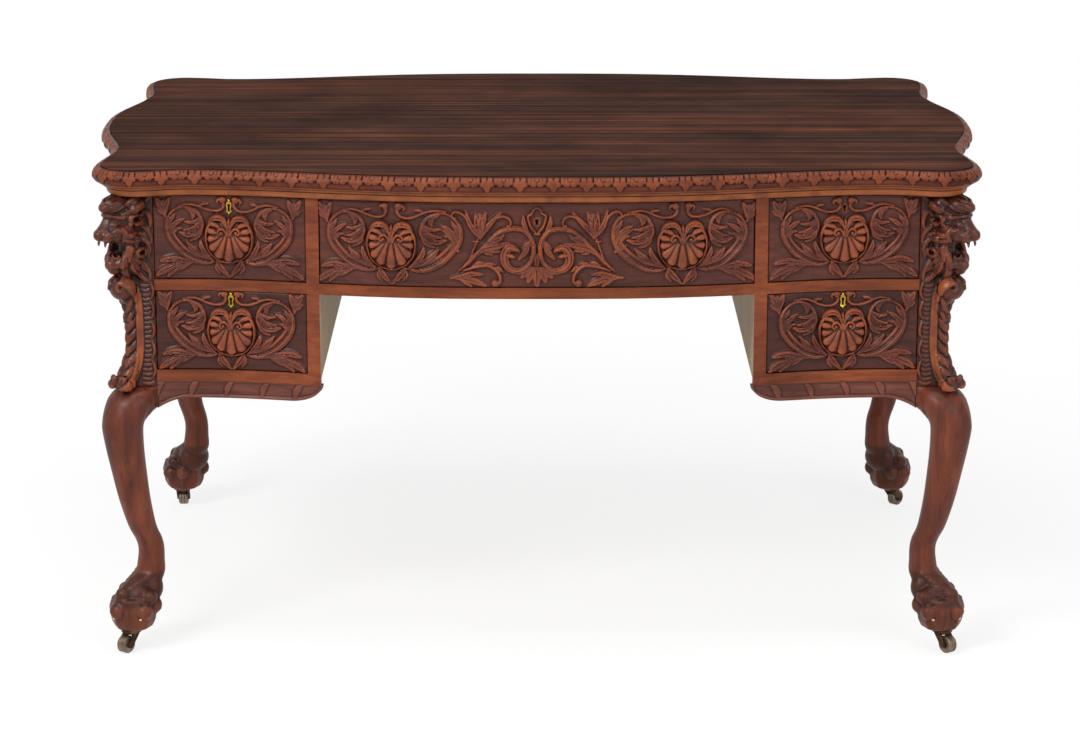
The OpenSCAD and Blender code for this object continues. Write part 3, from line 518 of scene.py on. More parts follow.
def finish_piece(name, mesh, body, material, replaced, smooth_angle=None):
    """Adds a piece with its finish, its body and the part of the frame that it stands for."""
    obj = new_object(name, mesh)
    mesh.materials.clear()
    mesh.materials.append(material)
    mesh.shade_smooth()
    if smooth_angle:
        mesh.set_sharp_from_angle(angle=math.radians(smooth_angle))
    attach(obj, body)
    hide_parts(*replaced)


def hollow_of(mesh, values, rounds):
    """How far each vertex lies above the mean of its neighbours, after some rounds of spreading."""
    edges = np.empty(len(mesh.edges) * 2, np.int32)
    mesh.edges.foreach_get("vertices", edges)
    a, b = edges.reshape(-1, 2).T
    count = np.bincount(a, minlength=len(values)) + np.bincount(b, minlength=len(values))
    spread = values.copy()
    for _ in range(rounds):
        total = np.bincount(a, spread[b], len(values)) + np.bincount(b, spread[a], len(values))
        spread = total / np.maximum(count, 1)
    return values - spread


def slab_mesh(name, columns, rows):
    """A closed slab whose front is a grid of columns by rows, from (-0.5, -0.5, 0) to (0.5, 0.5, 0),
    with its back at z = -1. Returns the mesh and how many of its vertices are in the front."""
    bm = bmesh.new()
    bmesh.ops.create_grid(bm, x_segments=columns, y_segments=rows, size=0.5)
    front = len(bm.verts)
    border = [e for e in bm.edges if e.is_boundary]
    made = bmesh.ops.extrude_edge_only(bm, edges=border)["geom"]
    back = [v for v in made if isinstance(v, bmesh.types.BMVert)]
    bmesh.ops.translate(bm, verts=back, vec=(0, 0, -1))
    rim = [e for e in bm.edges if e.is_boundary]
    bmesh.ops.contextual_create(bm, geom=rim)
    bmesh.ops.recalc_face_normals(bm, faces=bm.faces)
    return mesh_from(bm, name), front


def shake(u, v, size, seed):
    """Slow, seeded waviness of handwork, about -1 to 1."""
    rng = np.random.default_rng(seed)
    total = np.zeros(u.shape)
    for _ in range(6):
        angle, phase = rng.uniform(0, 2 * np.pi, 2)
        step = size * rng.uniform(0.6, 1.6)
        total += np.sin((u * np.cos(angle) + v * np.sin(angle)) * 2 * np.pi / step + phase)
    return total / 3


# ---- drawer fronts ----------------------------------------------------------------------------------

# The carving is drawn with its leaves, the shoulders of its shells and their crowns at these heights,
# and then brought to the heights of DeskSizes
DRAWN_LEAF, DRAWN_SHOULDER, DRAWN_CROWN = 4.5, 6, 13.5
# How far the shells of a centre drawer lie from its middle
SHELL_OUT = 220


class Drawer:
    """Where a drawer's front lies, in millimetres, for someone who sits at its own side."""

    def __init__(self, side, spot):
        drawer = f"{side}_{spot}"
        low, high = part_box(f"{drawer}_front")
        self.name = drawer
        self.turned = side == "rear"
        self.centre = spot == "centre"
        self.lower = "lower" in spot
        self.width = (high.x - low.x) / MM
        self.bottom, self.top = low.z / MM, high.z / MM
        self.middle = 0 if self.centre else (low.x + high.x) / 2 / MM * (-1 if self.turned else 1)
        # how far out the back of the front is, how high its carving is centred, and how far above
        # that the keyhole is
        self.back = 400.4 if self.centre else 370
        self.carving_z = 516 if self.lower else 662.5
        self.key_up = 40 if self.centre else 50


def keyhole_cut(f, v):
    """A bare keyhole at (0, v): a round over a slot, sunk 9 mm into the face and painted black inside, as
    painted shade for a hole right through it.
    """
    inside = (np.hypot(f.u, f.v - v) < 2.3) | ((np.abs(f.u) < 1.2) & (f.v < v) & (f.v > v - 6.5))
    f.h[inside] = -9
    # painted shade: the inside of the keyhole is painted near black
    f.shade[inside] = 1


def small_drawn(u, v):
    """The carving of a small drawer as drawn: one shell with a scroll and leaves at each side."""
    f = Field(-np.abs(u), v)
    shell(f)
    scroll(f)
    corner_leaves(f)
    return f.h


def centre_drawn(u, v):
    """The carving of a centre drawer as drawn: two shells, each as on a small drawer at its outer
    side, and the work between them."""
    out = np.abs(u) - SHELL_OUT
    outer = out >= 0
    shells = Field(-np.abs(out), v)
    shell(shells)
    # the inner scrolls are stretched a little to meet the work between the shells
    scrolls = Field(np.where(outer, -out, out / 1.09), v * 0.99)
    scroll(scrolls)
    ends = Field(np.where(outer, -out, 0), v)
    corner_leaves(ends)
    between = Field(-np.abs(u), v)
    centre_work(between)
    return np.max([shells.h, scrolls.h, ends.h * outer, between.h], axis=0)


def carve_drawer(drawer, u, v, heights, seed):
    """Carves the points (u, v) of a drawer's front, v up from the middle of its carving. heights are
    those of the leaves and the shells and the depth of the ground. Returns the carved field and
    how far each point stands above the ground."""
    wavy_u, wavy_v = u + 0.5 * shake(u, v, 60, seed), v + 0.5 * shake(u, v, 60, seed + 1)
    drawn = (centre_drawn if drawer.centre else small_drawn)(wavy_u, wavy_v)
    leaf_rise, shell_rise, ground = heights
    shoulder = DRAWN_SHOULDER * leaf_rise / DRAWN_LEAF
    crown = np.maximum(drawn - DRAWN_SHOULDER, 0) * (shell_rise - shoulder) / (DRAWN_CROWN - DRAWN_SHOULDER)
    raised = np.minimum(drawn * leaf_rise / DRAWN_LEAF, shoulder) + crown
    relief = Field(u, v)
    relief.h = raised + 0.10 * shake(u, v, 9, seed + 2) - ground
    keyhole_cut(relief, drawer.key_up)
    # the edges of the front are eased
    low, high = drawer.bottom - drawer.carving_z, drawer.top - drawer.carving_z
    margin = np.min([u + drawer.width / 2, drawer.width / 2 - u, v - low, high - v], axis=0)
    relief.h -= 1.3 * np.exp(-margin / 0.9)
    if drawer.lower:
        # less light and less polish reach the ground of the lower drawers
        relief.darken(0.3 * smooth((1.6 - raised) / 1.2))
    # hands have rubbed the shells, and the middle of the centre front, to a warmer tone
    middle = 0.55 * smooth((170 - np.abs(u)) / 40) * smooth((raised - 1.5) / 2)
    relief.rub = np.maximum(0.75 * smooth((raised - 6.5) / 3), middle * drawer.centre)
    return relief, raised


def drawer_front(drawer, step, heights, seed):
    """Mesh of a carved drawer front, bent onto the serpentine face at its own side of the desk."""
    height = drawer.top - drawer.bottom
    mesh, front = slab_mesh(f"carved_{drawer.name}", round(drawer.width / step), round(height / step))
    co = coords(mesh)
    u = co[:, 0] * drawer.width
    v = (co[:, 1] + 0.5) * height + drawer.bottom - drawer.carving_z
    relief, raised = carve_drawer(drawer, u[:front], v[:front], heights, seed)
    behind = np.zeros(len(u) - front)
    h = np.concatenate([relief.h, behind])
    x = u + drawer.middle
    slope = face_y(x + 0.5) - face_y(x - 0.5)
    scale = np.sqrt(1 + slope ** 2)
    px = x - h * slope / scale
    py = -face_y(x) - h / scale
    px[front:], py[front:] = x[front:], -drawer.back
    co = np.column_stack([px, py, v + drawer.carving_z]) * MM
    if drawer.turned:
        co[:, :2] *= -1
    set_coords(mesh, co)
    # raised and hollow let the material lay dirt and painted shade on the ground and in the cuts
    hollow = hollow_of(mesh, h, 10)[:front]
    for key, values in (("raised", np.maximum(raised, -1)), ("hollow", np.clip(hollow, -3, 3)),
                        ("shade", relief.shade), ("rub", relief.rub)):
        put_value(mesh, key, np.concatenate([values, behind]))
    return mesh

# ---- sculpture: lumps of wood joined by a voxel remesh, in the corner's own frame -------------------
# In that frame +X points out of the desk along the corner's diagonal, in millimetres.

class Lump:
    """A heap of overlapping beads and bars that becomes one carved form."""

    def __init__(self):
        self.bm = bmesh.new()

    def bead(self, place, radii, fine=2):
        """An egg of wood; fine is how often its faces are divided."""
        matrix = Matrix.Translation(place) @ Matrix.Diagonal((*radii, 1))
        bmesh.ops.create_icosphere(self.bm, subdivisions=fine, radius=1, matrix=matrix)

    def pair(self, place, radii):
        """A bead at each side of the middle."""
        self.bead(place, radii)
        self.bead((place[0], -place[1], place[2]), radii)

    def rope(self, points, both=True, flat=1.0):
        """A tapering rope of beads, at both sides or in the middle only; each row of points is
        x, y, z and radius. A bead is left out where it would hide in the one before it."""
        last = None
        for row in trace(points, 10):
            if last is not None and np.linalg.norm(row[:3] - last[:3]) < 0.45 * row[3]:
                continue
            last = row
            for side in ((1, -1) if both else (1,)):
                self.bead((row[0], side * row[1], row[2]), (row[3], row[3] * flat, row[3]), 1)

    def bar(self, low, high):
        """A square bar between two corners, lying along the sides of the desk."""
        low, high = Vector(low), Vector(high)
        matrix = (Matrix.Rotation(math.radians(45), 4, "Z") @ Matrix.Translation((low + high) / 2)
                  @ Matrix.Diagonal((*(high - low), 1)))
        bmesh.ops.create_cube(self.bm, size=1, matrix=matrix)

    def remeshed(self, name, step, smoothing):
        """The heap as one closed mesh of facets about step wide, in millimetres."""
        mesh = mesh_from(self.bm, name)
        obj = new_object(name, mesh)
        remesh = obj.modifiers.new("Remesh", "REMESH")
        remesh.mode = "VOXEL"
        remesh.voxel_size = step
        soften = obj.modifiers.new("Smooth", "SMOOTH")
        soften.factor = 0.5
        soften.iterations = smoothing
        done = bpy.data.meshes.new_from_object(obj.evaluated_get(bpy.context.evaluated_depsgraph_get()))
        bpy.data.objects.remove(obj)
        bpy.data.meshes.remove(mesh)
        return done


def chase(co, normal, points):
    """Cuts a groove into a sculpted form at both sides of its middle; each row of points is
    x, y, z, half width and depth."""
    line = trace(points, 8)
    place = co.copy()
    place[:, 1] = np.abs(place[:, 1])
    pad = line[:, 3].max()
    near = np.all((place > line[:, :3].min(0) - pad) & (place < line[:, :3].max(0) + pad), axis=1)
    p = place[near]
    best = np.full(len(p), 1e9)
    width = np.ones(len(p))
    depth = np.zeros(len(p))
    for a, b in zip(line[:-1], line[1:]):
        d = b[:3] - a[:3]
        t = np.clip(((p - a[:3]) @ d) / max(d @ d, 1e-9), 0, 1)
        gap = np.linalg.norm(p - a[:3] - t[:, None] * d, axis=1)
        closer = gap < best
        best[closer] = gap[closer]
        width[closer] = (a[3] + (b[3] - a[3]) * t)[closer]
        depth[closer] = (a[4] + (b[4] - a[4]) * t)[closer]
    co[near] -= normal[near] * (depth * smooth(1 - best / width))[:, None]


# Half the width of a corner post, its height and its foot
POST = 23.0
POST_TOP, POST_FOOT = 731.0, 427.0
ROOT2 = math.sqrt(2)


def seen_from_front(co, normal):
    """Places of the points of a corner piece as the front shows them, for both faces alike: how
    far they lie outward of the corner's middle, how far below the cornice, and how squarely they
    face the viewer."""
    side = np.where(co[:, 1] < 0, -1, 1)
    across = (co[:, 0] - np.abs(co[:, 1])) / ROOT2
    facing = (normal[:, 0] + normal[:, 1] * side) / ROOT2
    return across, POST_TOP - co[:, 2], facing


def drop(d):
    """Height of a place that lies d below the cornice."""
    return POST_TOP - d


def hung(row):
    """A stroke's rows of (across, drop, half width, height), with the drop turned into a height."""
    return [(s, -d, w, h) for s, d, w, h in row]


def draw_mane(f):
    """Hair, ear, mane and their bosses, as strokes of (across, drop, half width, height)."""
    for row in (
        # hair swept back from the forehead to the cornice
        [(52, 13, 2.4, 1.6), (40, 9, 3.6, 3), (26, 4, 3, 2.6), (17, 0, 1.6, 1.6)],
        [(52, 18, 2.4, 1.6), (38, 14, 3.8, 3.4), (22, 8, 3.8, 3.2), (8, -1, 2, 1.8)],
        [(46, 22, 2, 1.4), (32, 19, 3.6, 3.2), (17, 13, 4, 3.6), (2, 2, 2.2, 2)],
    ):
        f.stroke(hung(row))
    for row in (
        # the fold over the ear and the locks behind it
        [(18, 27, 3, 2.6), (6, 22, 4.6, 4.6), (-7, 14, 4.4, 5), (-19, 4, 1.6, 2.6)],
        [(-8, 26, 3, 3), (-16, 30, 4.2, 4.6), (-19.5, 42, 3.8, 4.4), (-17, 54, 2.4, 3), (-11, 60, 1, 2)],
        [(-6, 50, 3, 3), (-15, 57, 4.2, 4.2), (-20, 68, 3.4, 4), (-18.5, 79, 1, 2)],
        # strands that run from the cheek round the lower boss
        [(16, 58, 3.4, 2.6), (5, 60, 4.4, 4.2), (-8, 63, 4, 4), (-17, 69, 1.4, 2.2)],
        [(14, 66, 3.4, 3), (2, 69, 4.6, 4.8), (-11, 72, 4.4, 5), (-17.5, 84, 3.6, 4.4),
         (-15, 97, 1.6, 2.4)],
        # the flame of the mane under the jaw
        [(15, 80, 3.4, 3), (19, 98, 4, 4.6), (20, 112, 5.2, 5.4), (17, 126, 5.2, 5.4), (16, 130, 3, 3.4)],
        [(12, 78, 3.4, 3), (11, 97, 4.8, 5), (6, 113, 6, 5.6), (-4, 128, 4.8, 5), (-15, 137, 1.4, 2.4)],
        [(8, 80, 3, 3), (3.5, 98, 4.4, 4.8), (-4, 111, 4.8, 5), (-14, 121, 2, 3)],
        [(-2, 101, 3, 3), (-11, 112, 4.2, 4.4), (-17, 124, 3.4, 4), (-16, 135, 1.2, 2.4)],
    ):
        f.leaf(hung(row))
    for row in (
        [(17.5, 92, .4, .3), (19.5, 108, 1, 1.2), (17, 122, .4, .3)],
        [(12, 90, .4, .3), (9, 107, 1, 1.4), (1, 121, 1, 1.2), (-8, 131, .4, .3)],
        [(11, 96, .4, .3), (5.5, 110, 1, 1.2), (-2, 122, .4, .3)],
        [(12, 67, .4, .3), (0, 70.5, 1, 1.2), (-11, 75, .4, .3)],
    ):
        f.cut(hung(row))
    # ear and lower boss: a rolled rim round a hollow, drawn out to a point at one side
    for s0, d0, size, rim, tip in ((0.5, 36.5, 8.6, 4.2, -9), (-5.2, 89.5, 6.4, 3.6, 7)):
        f.stroke([(s0 + size * math.cos(a), -d0 - 0.86 * size * math.sin(a), rim, 5.8)
                  for a in np.linspace(0, 6.28, 12)])
        f.leaf([(s0 + tip * 0.7, -d0 - 0.5 * tip, 3, 4.6), (s0 + tip * 1.4, -d0 - 1.3 * tip, 1, 2.4)])
        f.cut([(s0 + 2, -d0 - 0.6, size * 0.55, 6.5), (s0 - 2, -d0 + 0.8, size * 0.55, 6.5)])
        # painted shade in the hollow inside each rim
        hole = np.hypot((f.u - s0) / 1.25 + 0.2 * (f.v + d0), f.v + d0 - 0.25 * (f.u - s0))
        f.darken(0.85 * smooth((size * 0.42 - hole) / 1.2))


def draw_face(f):
    """Brow, eye, cheek and muzzle of the beast, in the same way."""
    # brow: one thick fold from the bridge of the nose back to the ear
    f.stroke(hung([(52, 27, 2.6, 1.6), (43, 28, 3.6, 3.6), (32, 30, 3.6, 4.2), (21, 31.5, 3.2, 3.4),
                   (12, 31, 2, 2)]))
    # socket under the brow, ball of the eye and its lids
    f.cut([(43, -36, 3.4, 2), (33, -38.6, 6.8, 5), (23, -39.5, 4.6, 3)])
    f.ball(32, -39, 5.2, 2.4)
    for row in (
        # locks of the crown
        [(57, 15, .8, .8), (45, 11, 1.3, 2.2), (31, 6, 1.2, 2), (20, 1, .8, .8)],
        [(57, 19, .8, .8), (43, 15.5, 1.3, 2.2), (28, 10.5, 1.2, 2.2), (13, 2, .8, .8)],
        [(52, 23, .8, .8), (38, 20.5, 1.3, 2.2), (23, 14.5, 1.2, 2.2), (7, 4, .8, .8)],
        [(40, 24.5, .8, .8), (26, 22, 1.1, 1.6), (14, 15, .8, .8)],
    ):
        f.cut(hung(row))
    for row in (
        [(39, 38.8, 1, .8), (35.5, 35.9, 1.5, 2), (30, 35.4, 1.6, 2.2), (24, 38.6, 1, 1)],
        [(38.5, 39.6, 1, .8), (34.5, 42.4, 1.4, 1.8), (29.5, 42.2, 1.4, 1.6), (24, 39.4, 1, 1)],
    ):
        f.stroke(hung(row))
    # the pupil
    f.darken(0.8 * smooth((1.7 - np.hypot(f.u - 32.4, f.v + 38.9)) / 0.8))
    # cheekbone running down to the corner of the mouth
    f.stroke(hung([(30, 48, 3.4, 1), (22, 49, 5, 2.6), (15.5, 55, 5, 3), (17, 64, 4, 2.6),
                   (21, 72, 2.4, 1.6)]))
    for row in (
        # furrow from the nose to the corner of the mouth, wing of the nostril, lip line
        [(47, 33, 1.6, .8), (42, 44, 3, 2.4), (34, 52, 3.2, 2.8), (29, 62, 2.4, 2)],
        [(52, 46, 1.4, .6), (52.5, 54, 2.4, 2.2), (49, 62, 1.8, 1.6)],
        [(57, 62.5, 2, 2.4), (60, 60.5, 2, 2.4)],
        [(24, 62, 1.6, .8), (26, 69, 2.4, 2), (22, 78, 1.6, 1)],
    ):
        f.cut(hung(row))


def draw_post(f):
    """The smooth band, the ribs with their frilled edge, and the lobes of the corner."""
    for i in range(23):
        d = 135 + 7.4 * i
        f.stroke([(-2, -d, 2.4, 1.4), (-8, -d - 1, 2.9, 2.2), (-13, -d - 0.4, 2.8, 2.2),
                  (-18, -d + 2, 2.2, 1.8)])
    for i in range(5):
        d = 151.5 + 31 * i
        f.stroke([(-16.4, 14 - d, 1.6, 3), (-19.4, 7.5 - d, 2.8, 4.6), (-20.6, -d, 3.2, 5),
                  (-19.2, -7.5 - d, 2.6, 4.6), (-15.6, -13 - d, 1.4, 3)])
        f.cut([(-15.5, -d + 3, .5, .5), (-18.5, -d, 1.1, 1.6), (-16, -d - 5, .5, .5)])
    for i in range(6):
        d = 196 + 18.5 * i
        out = 5 * smooth((d - 235) / 45)
        f.stroke([(7 + out, -d - 1, 5, 2.4), (13.5 + out, -d - 7, 6.4, 4.4), (19 + out, -d - 15, 5.4, 4.6),
                  (22 + out, -d - 22, 1.6, 2.6)])
        f.cut([(9 + out, -d + 2.5, .8, .6), (15 + out, -d - 1.5, 1.6, 3.2), (21 + out, -d - 7.5, 1.4, 2.8)])
    band = [(22, 134.5), (15.2, 138), (9.6, 143.5), (6.4, 150), (3.8, 159), (2.4, 169), (1.4, 190),
            (0.9, 222), (1.6, 243), (4.7, 265), (9.8, 282), (14, 292), (19, 299), (26, 303)]
    f.cut([(s, -d, 9.2, 2.4) for s, d in band[1:]])
    lift = Field(f.u, f.v)
    lift.stroke([(s, -d, 6.7, 4.6) for s, d in band], "band")
    f.h = np.maximum(f.h, lift.h)
    f.rub = np.clip(lift.h / 3.4, 0, 1)
    # the band's head curls in over the volute
    f.stroke([(20, -135.5, 4.4, 4.8), (27, -135.5, 3.4, 4.6), (31.5, -140, 2.8, 4),
              (30.5, -145.5, 2.4, 3.4), (26.5, -146.5, 1.8, 2.4)])
    f.cut([(22.5, -141, 2.4, 3), (27, -141.2, 2.2, 3)])
    # painted shade in the eye of the curl
    f.darken(0.8 * smooth(2.8 - np.hypot(f.u - 25.5, (f.v + 141.3) * 1.3)))
    f.leaf([(12, -160, 1.8, 2), (14.5, -170, 3.8, 3.6), (18, -180, 3.6, 3.4), (21, -187, 1.6, 2)])


def rough_beast():
    """The corner post before its carving: head with open jaws, volute, and a toe that curls up."""
    heap = Lump()
    heap.bar((-POST - 3, 2 - POST, POST_FOOT - 3), (POST - 2, POST + 3, POST_TOP + 3))
    # skull, forehead knob and crown
    heap.bead((28, 0, drop(34)), (33, 24, 36))
    heap.bead((44, 0, drop(16)), (25, 18, 17))
    heap.bead((63, 0, drop(17)), (11, 9.5, 9))
    heap.pair((66, 4, drop(17)), (6, 4.6, 6))
    heap.pair((24, 20, drop(14)), (16, 11, 14))
    # bridge of the nose, muzzle, lips and cheeks
    heap.rope([(58, 0, drop(26), 8.5), (61, 0, drop(36), 8.5), (67, 0, drop(46), 9), (75, 0, drop(54), 9)],
              both=False, flat=1.25)
    heap.bead((77.5, 0, drop(57)), (9.5, 9.5, 9.5), 3)
    heap.bead((68, 0, drop(56)), (14, 14, 12.5), 3)
    heap.pair((68, 11, drop(59)), (11, 10, 10))
    heap.pair((56, 15, drop(57)), (13, 10, 12))
    heap.bead((52, 0, drop(52)), (20, 19, 19), 3)
    heap.pair((40, 20, drop(56)), (14, 9, 15))
    heap.pair((73, 8, drop(70)), (2.6, 2.4, 7))
    # lower jaw with its fold to the cheek, chin, teeth and throat
    heap.rope([(34, 19, drop(68), 7), (35, 19, drop(82), 6.5), (40, 16.5, drop(95), 7),
               (48, 12, drop(104), 8), (54, 5, drop(107), 8.5)])
    heap.bead((55, 0, drop(106)), (12, 11, 11), 3)
    heap.bead((51, 0, drop(114)), (11, 10, 9))
    heap.rope([(57, 2, drop(96), 2.8), (56, 8, drop(95.5), 2.8), (49, 12, drop(96), 2.6),
               (42, 16, drop(93), 2.4)])
    heap.pair((58, 6, drop(91)), (2, 2, 5))
    heap.pair((50, 11, drop(92)), (1.7, 1.7, 4))
    heap.bead((27, 0, drop(112)), (22, 19, 18), 3)
    heap.bead((20, 0, drop(88)), (20, 23, 30), 3)
    # the volute and its taper, ending in a bud
    heap.bead((37, 0, drop(146)), (19, 21, 19), 4)
    heap.bead((26, 0, drop(162)), (13, 14, 13), 3)
    heap.bead((20, 0, drop(176)), (12, 12, 14), 3)
    heap.rope([(22, 7, drop(184), 4.6), (27, 6.5, drop(190), 4.6), (29, 5.5, drop(196), 4.4),
               (25, 5, drop(199), 3.6)])
    # the corner swells to the toe, which curls up
    heap.rope([(14, 0, drop(240), 10), (22, 0, drop(262), 12), (30, 0, drop(280), 12),
               (38, 0, drop(292), 11)],
              both=False, flat=1.2)
    heap.rope([(34, 7, drop(295), 9), (43, 9, drop(295), 9), (48, 8.5, drop(291), 7),
               (50.5, 8, drop(286), 5)])
    heap.pair((45.5, 11.5, drop(297)), (9.4, 8.8, 9))
    heap.bead((38, 0, drop(298)), (14, 14, 9))
    return heap


def beast_post(step):
    """The corner post with its beast's head, volute, band, ribs and corner lobes."""
    mesh = rough_beast().remeshed("beast_post", step, 3)
    co, normal = coords(mesh), normals_of(mesh)
    across, down, facing = seen_from_front(co, normal)
    f = Field(across, -down)
    draw_mane(f)
    draw_face(f)
    draw_post(f)
    weight = smooth(facing / 0.45)
    co += normal * (f.h * weight)[:, None]
    for row in (
        # hollow of the mouth and the line between the lips
        [(58, 3, drop(82), 10, 6), (48, 8, drop(82), 11, 9), (40, 13, drop(82), 8, 6)],
        [(84, 0, drop(66), 1.8, 1.6), (76, 9, drop(69), 1.8, 1.6), (62, 18, drop(68), 1.8, 1.4)],
    ):
        chase(co, normal, row)
    hold_inside(co)
    # painted shade inside the mouth, on the crown under the cornice and beside the locks
    mouth = smooth((11 - np.hypot(across - 31, (down - 83) * 0.8)) / 4) * smooth((44 - co[:, 0]) / 8)
    crown = 0.3 * smooth((36 - down) / 12)
    locks = 0.24 * smooth((across - 17) / 8) * smooth((70 - down) / 10)
    set_coords(mesh, co)
    put_value(mesh, "shade", np.max([f.shade * weight, 0.6 * mouth, crown, locks], axis=0))
    put_value(mesh, "rub", f.rub * weight)
    return mesh


def hold_inside(co):
    """Keeps the post's back and ends flat and inside its own square."""
    across = np.maximum((co[:, 0] - co[:, 1]) / ROOT2, -POST)
    along = np.maximum((co[:, 0] + co[:, 1]) / ROOT2, -POST)
    co[:, 0] = (across + along) / ROOT2
    co[:, 1] = (along - across) / ROOT2
    co[:, 2] = np.clip(co[:, 2], POST_FOOT, POST_TOP)


# Height of a leg's sole over the floor and of the leg over its sole
SOLE, LEG = 36.0, 391.0
# Down a leg: share of its length, distance out along the diagonal and half width
LEG_LINE = [
    (0.06, 34, 24), (0.125, 22, 26), (0.174, 10, 24.5), (0.22, -1, 23.2), (0.268, -3.6, 21.2),
    (0.317, -4.5, 20.4), (0.36, 0, 20.8), (0.42, 12, 21.8), (0.535, 25, 24.5), (0.65, 34, 27),
    (0.752, 41, 29.5), (0.831, 44.5, 31.7), (0.86, 43.4, 32.6), (0.89, 39, 34.4), (0.911, 35, 35.6),
    (0.9325, 31, 36), (0.9535, 27, 35.6), (0.9706, 22.5, 34), (0.985, 18, 31.4), (0.994, 15, 28),
    (1.0, 12, 23),
]


def set_station(ring, row):
    """Moves a ring of the leg to the size and place of one station, keeping each point's direction."""
    centre = sum((v.co for v in ring), Vector()) / len(ring)
    for v in ring:
        out = v.co - centre
        out = Vector((out.x, out.y, 0)).normalized() * row[2]
        v.co = (row[1] + out.x, out.y, SOLE + row[0] * LEG)


def rough_leg():
    """The cabriole leg and its paw before the grooves are cut."""
    heap = Lump()
    bm = heap.bm
    line = trace(LEG_LINE, 6)
    ring = bmesh.ops.create_circle(bm, segments=64, radius=1)["verts"]
    set_station(ring, line[0])
    edges = list(bm.edges)
    bmesh.ops.contextual_create(bm, geom=edges)
    for row in line[1:]:
        made = bmesh.ops.extrude_edge_only(bm, edges=edges)["geom"]
        edges = [e for e in made if isinstance(e, bmesh.types.BMEdge)]
        set_station([v for v in made if isinstance(v, bmesh.types.BMVert)], row)
    bmesh.ops.contextual_create(bm, geom=edges)
    bmesh.ops.recalc_face_normals(bm, faces=bm.faces)
    # the block that carries on the post's inner faces, and its rounded foot
    heap.bar((-POST - 3, -22, 394), (22, POST + 3, SOLE + LEG + 3))
    for low, reach, front in ((390, 18.5, 21), (386, 14.5, 20), (382, 11, 18), (378, 8, 16)):
        heap.bar((-reach, -front, low), (front, reach, low + 8))
    heap.rope([(5, 23, 421, 8), (6, 24, 408, 9.5), (10, 23.5, 396, 9), (17, 22, 386, 7.5),
               (25, 21, 377, 6)])
    # an eight-sided block that widens from the sole to the toes
    for low, high, start, end in ((36, 40, 21, 30), (40, 50, 30, 35), (50, 72, 35, 38.5),
                                  (72, 90, 38.5, 33)):
        bmesh.ops.create_cone(bm, cap_ends=True, segments=8, radius1=start, radius2=end, depth=high - low,
                              matrix=Matrix.Translation((35, 0, (low + high) / 2)))
    # the back of the paw and its heel
    heap.rope([(8, 0, 116, 20), (18, 0, 111, 18), (29, 0, 107, 16), (43, 0, 101, 13)], both=False, flat=1.3)
    heap.bead((28, 0, 92), (27, 31, 20), 3)
    heap.bead((6, 0, 99), (22, 30, 27), 3)
    # knuckles over toes sunk in the block: one out along the diagonal and one at each side
    heap.bead((54, 0, 95), (12.5, 12.5, 12), 3)
    heap.bead((65, 0, 71), (13.5, 14, 13.5), 3)
    heap.pair((25, 30, 91), (12.5, 12.5, 12))
    heap.pair((36, 30, 69), (14, 13.5, 13.5))
    heap.pair((10, 23, 74), (12, 12, 14))
    return heap


def paw_leg(step):
    """A cabriole leg with its lion's paw."""
    mesh = rough_leg().remeshed("paw_leg", step, 4)
    co, normal = coords(mesh), normals_of(mesh)
    for row in (
        # grooves under the knuckles, round the toes, and the wrinkles between the knuckles
        [(67, 0, 85, 2.4, 2.4), (62, 9, 84, 2.4, 2.4), (52, 15, 88, 2.4, 1.8)],
        [(45, 32, 82, 2.4, 2.2), (34, 42, 81, 2.4, 2.4), (20, 38, 84, 2.4, 1.8)],
        [(64, 13, 80, 2, 1.8), (67, 14.5, 70, 2, 2.2), (66, 11, 58, 2, 1.4)],
        [(48, 27, 79, 2, 1.8), (50, 30, 69, 2, 2.2), (47, 31, 57, 2, 1.4)],
        [(22, 35, 78, 2, 1.6), (22, 37, 69, 2, 2), (25, 35, 57, 2, 1.4)],
        [(58, 8, 98, 1.6, 1), (48, 17, 98, 1.8, 1.6), (38, 27, 98, 1.6, 1)],
        [(54, 8, 102, 1.4, .8), (45, 17, 102, 1.6, 1.3), (36, 25, 102, 1.4, .8)],
        [(56, 10, 94, 1.4, .8), (50, 18, 94, 1.6, 1.4), (42, 26, 93, 1.4, .8)],
        [(50, 9, 106, 1.4, .6), (42, 17, 106.5, 1.6, 1), (34, 23, 106, 1.4, .6)],
    ):
        chase(co, normal, row)
    # the top of the leg keeps to the post's square, to meet it
    held = co.copy()
    hold_inside(held)
    top = co[:, 2] > 392
    co[top] = np.column_stack([held[top, :2], co[top, 2]])
    co[:, 2] = np.clip(co[:, 2], SOLE, SOLE + LEG)
    set_coords(mesh, co)
    # the back of the paw is dark with handling and the toes are brown
    put_value(mesh, "shade", 0.5 * smooth((128 - co[:, 2]) / 7) * smooth((co[:, 2] - 74) / 9))
    return mesh


def nails_on(leg):
    """Mesh of the three nails of a paw, set in the surface of its toes."""
    bm = bmesh.new()
    body = coords(leg)
    middle = 40
    bearing = np.degrees(np.arctan2(body[:, 1], body[:, 0] - middle))
    for way, height in ((0, 60), (78, 59), (-78, 59)):
        near = (np.abs(bearing - way) < 6) & (np.abs(body[:, 2] - height) < 4)
        reach = np.median(np.hypot(body[near, 0] - middle, body[near, 1])) + 0.6
        c, s = math.cos(math.radians(way)), math.sin(math.radians(way))
        out = Vector((c, s, -0.35)).to_track_quat("Z", "Y").to_matrix().to_4x4()
        matrix = Matrix.Translation((middle + reach * c, reach * s, height)) @ out
        bmesh.ops.create_icosphere(
            bm, subdivisions=3, radius=1, matrix=matrix @ Matrix.Diagonal((2.5, 2.1, 1.8, 1)))
    return mesh_from(bm, "nails")


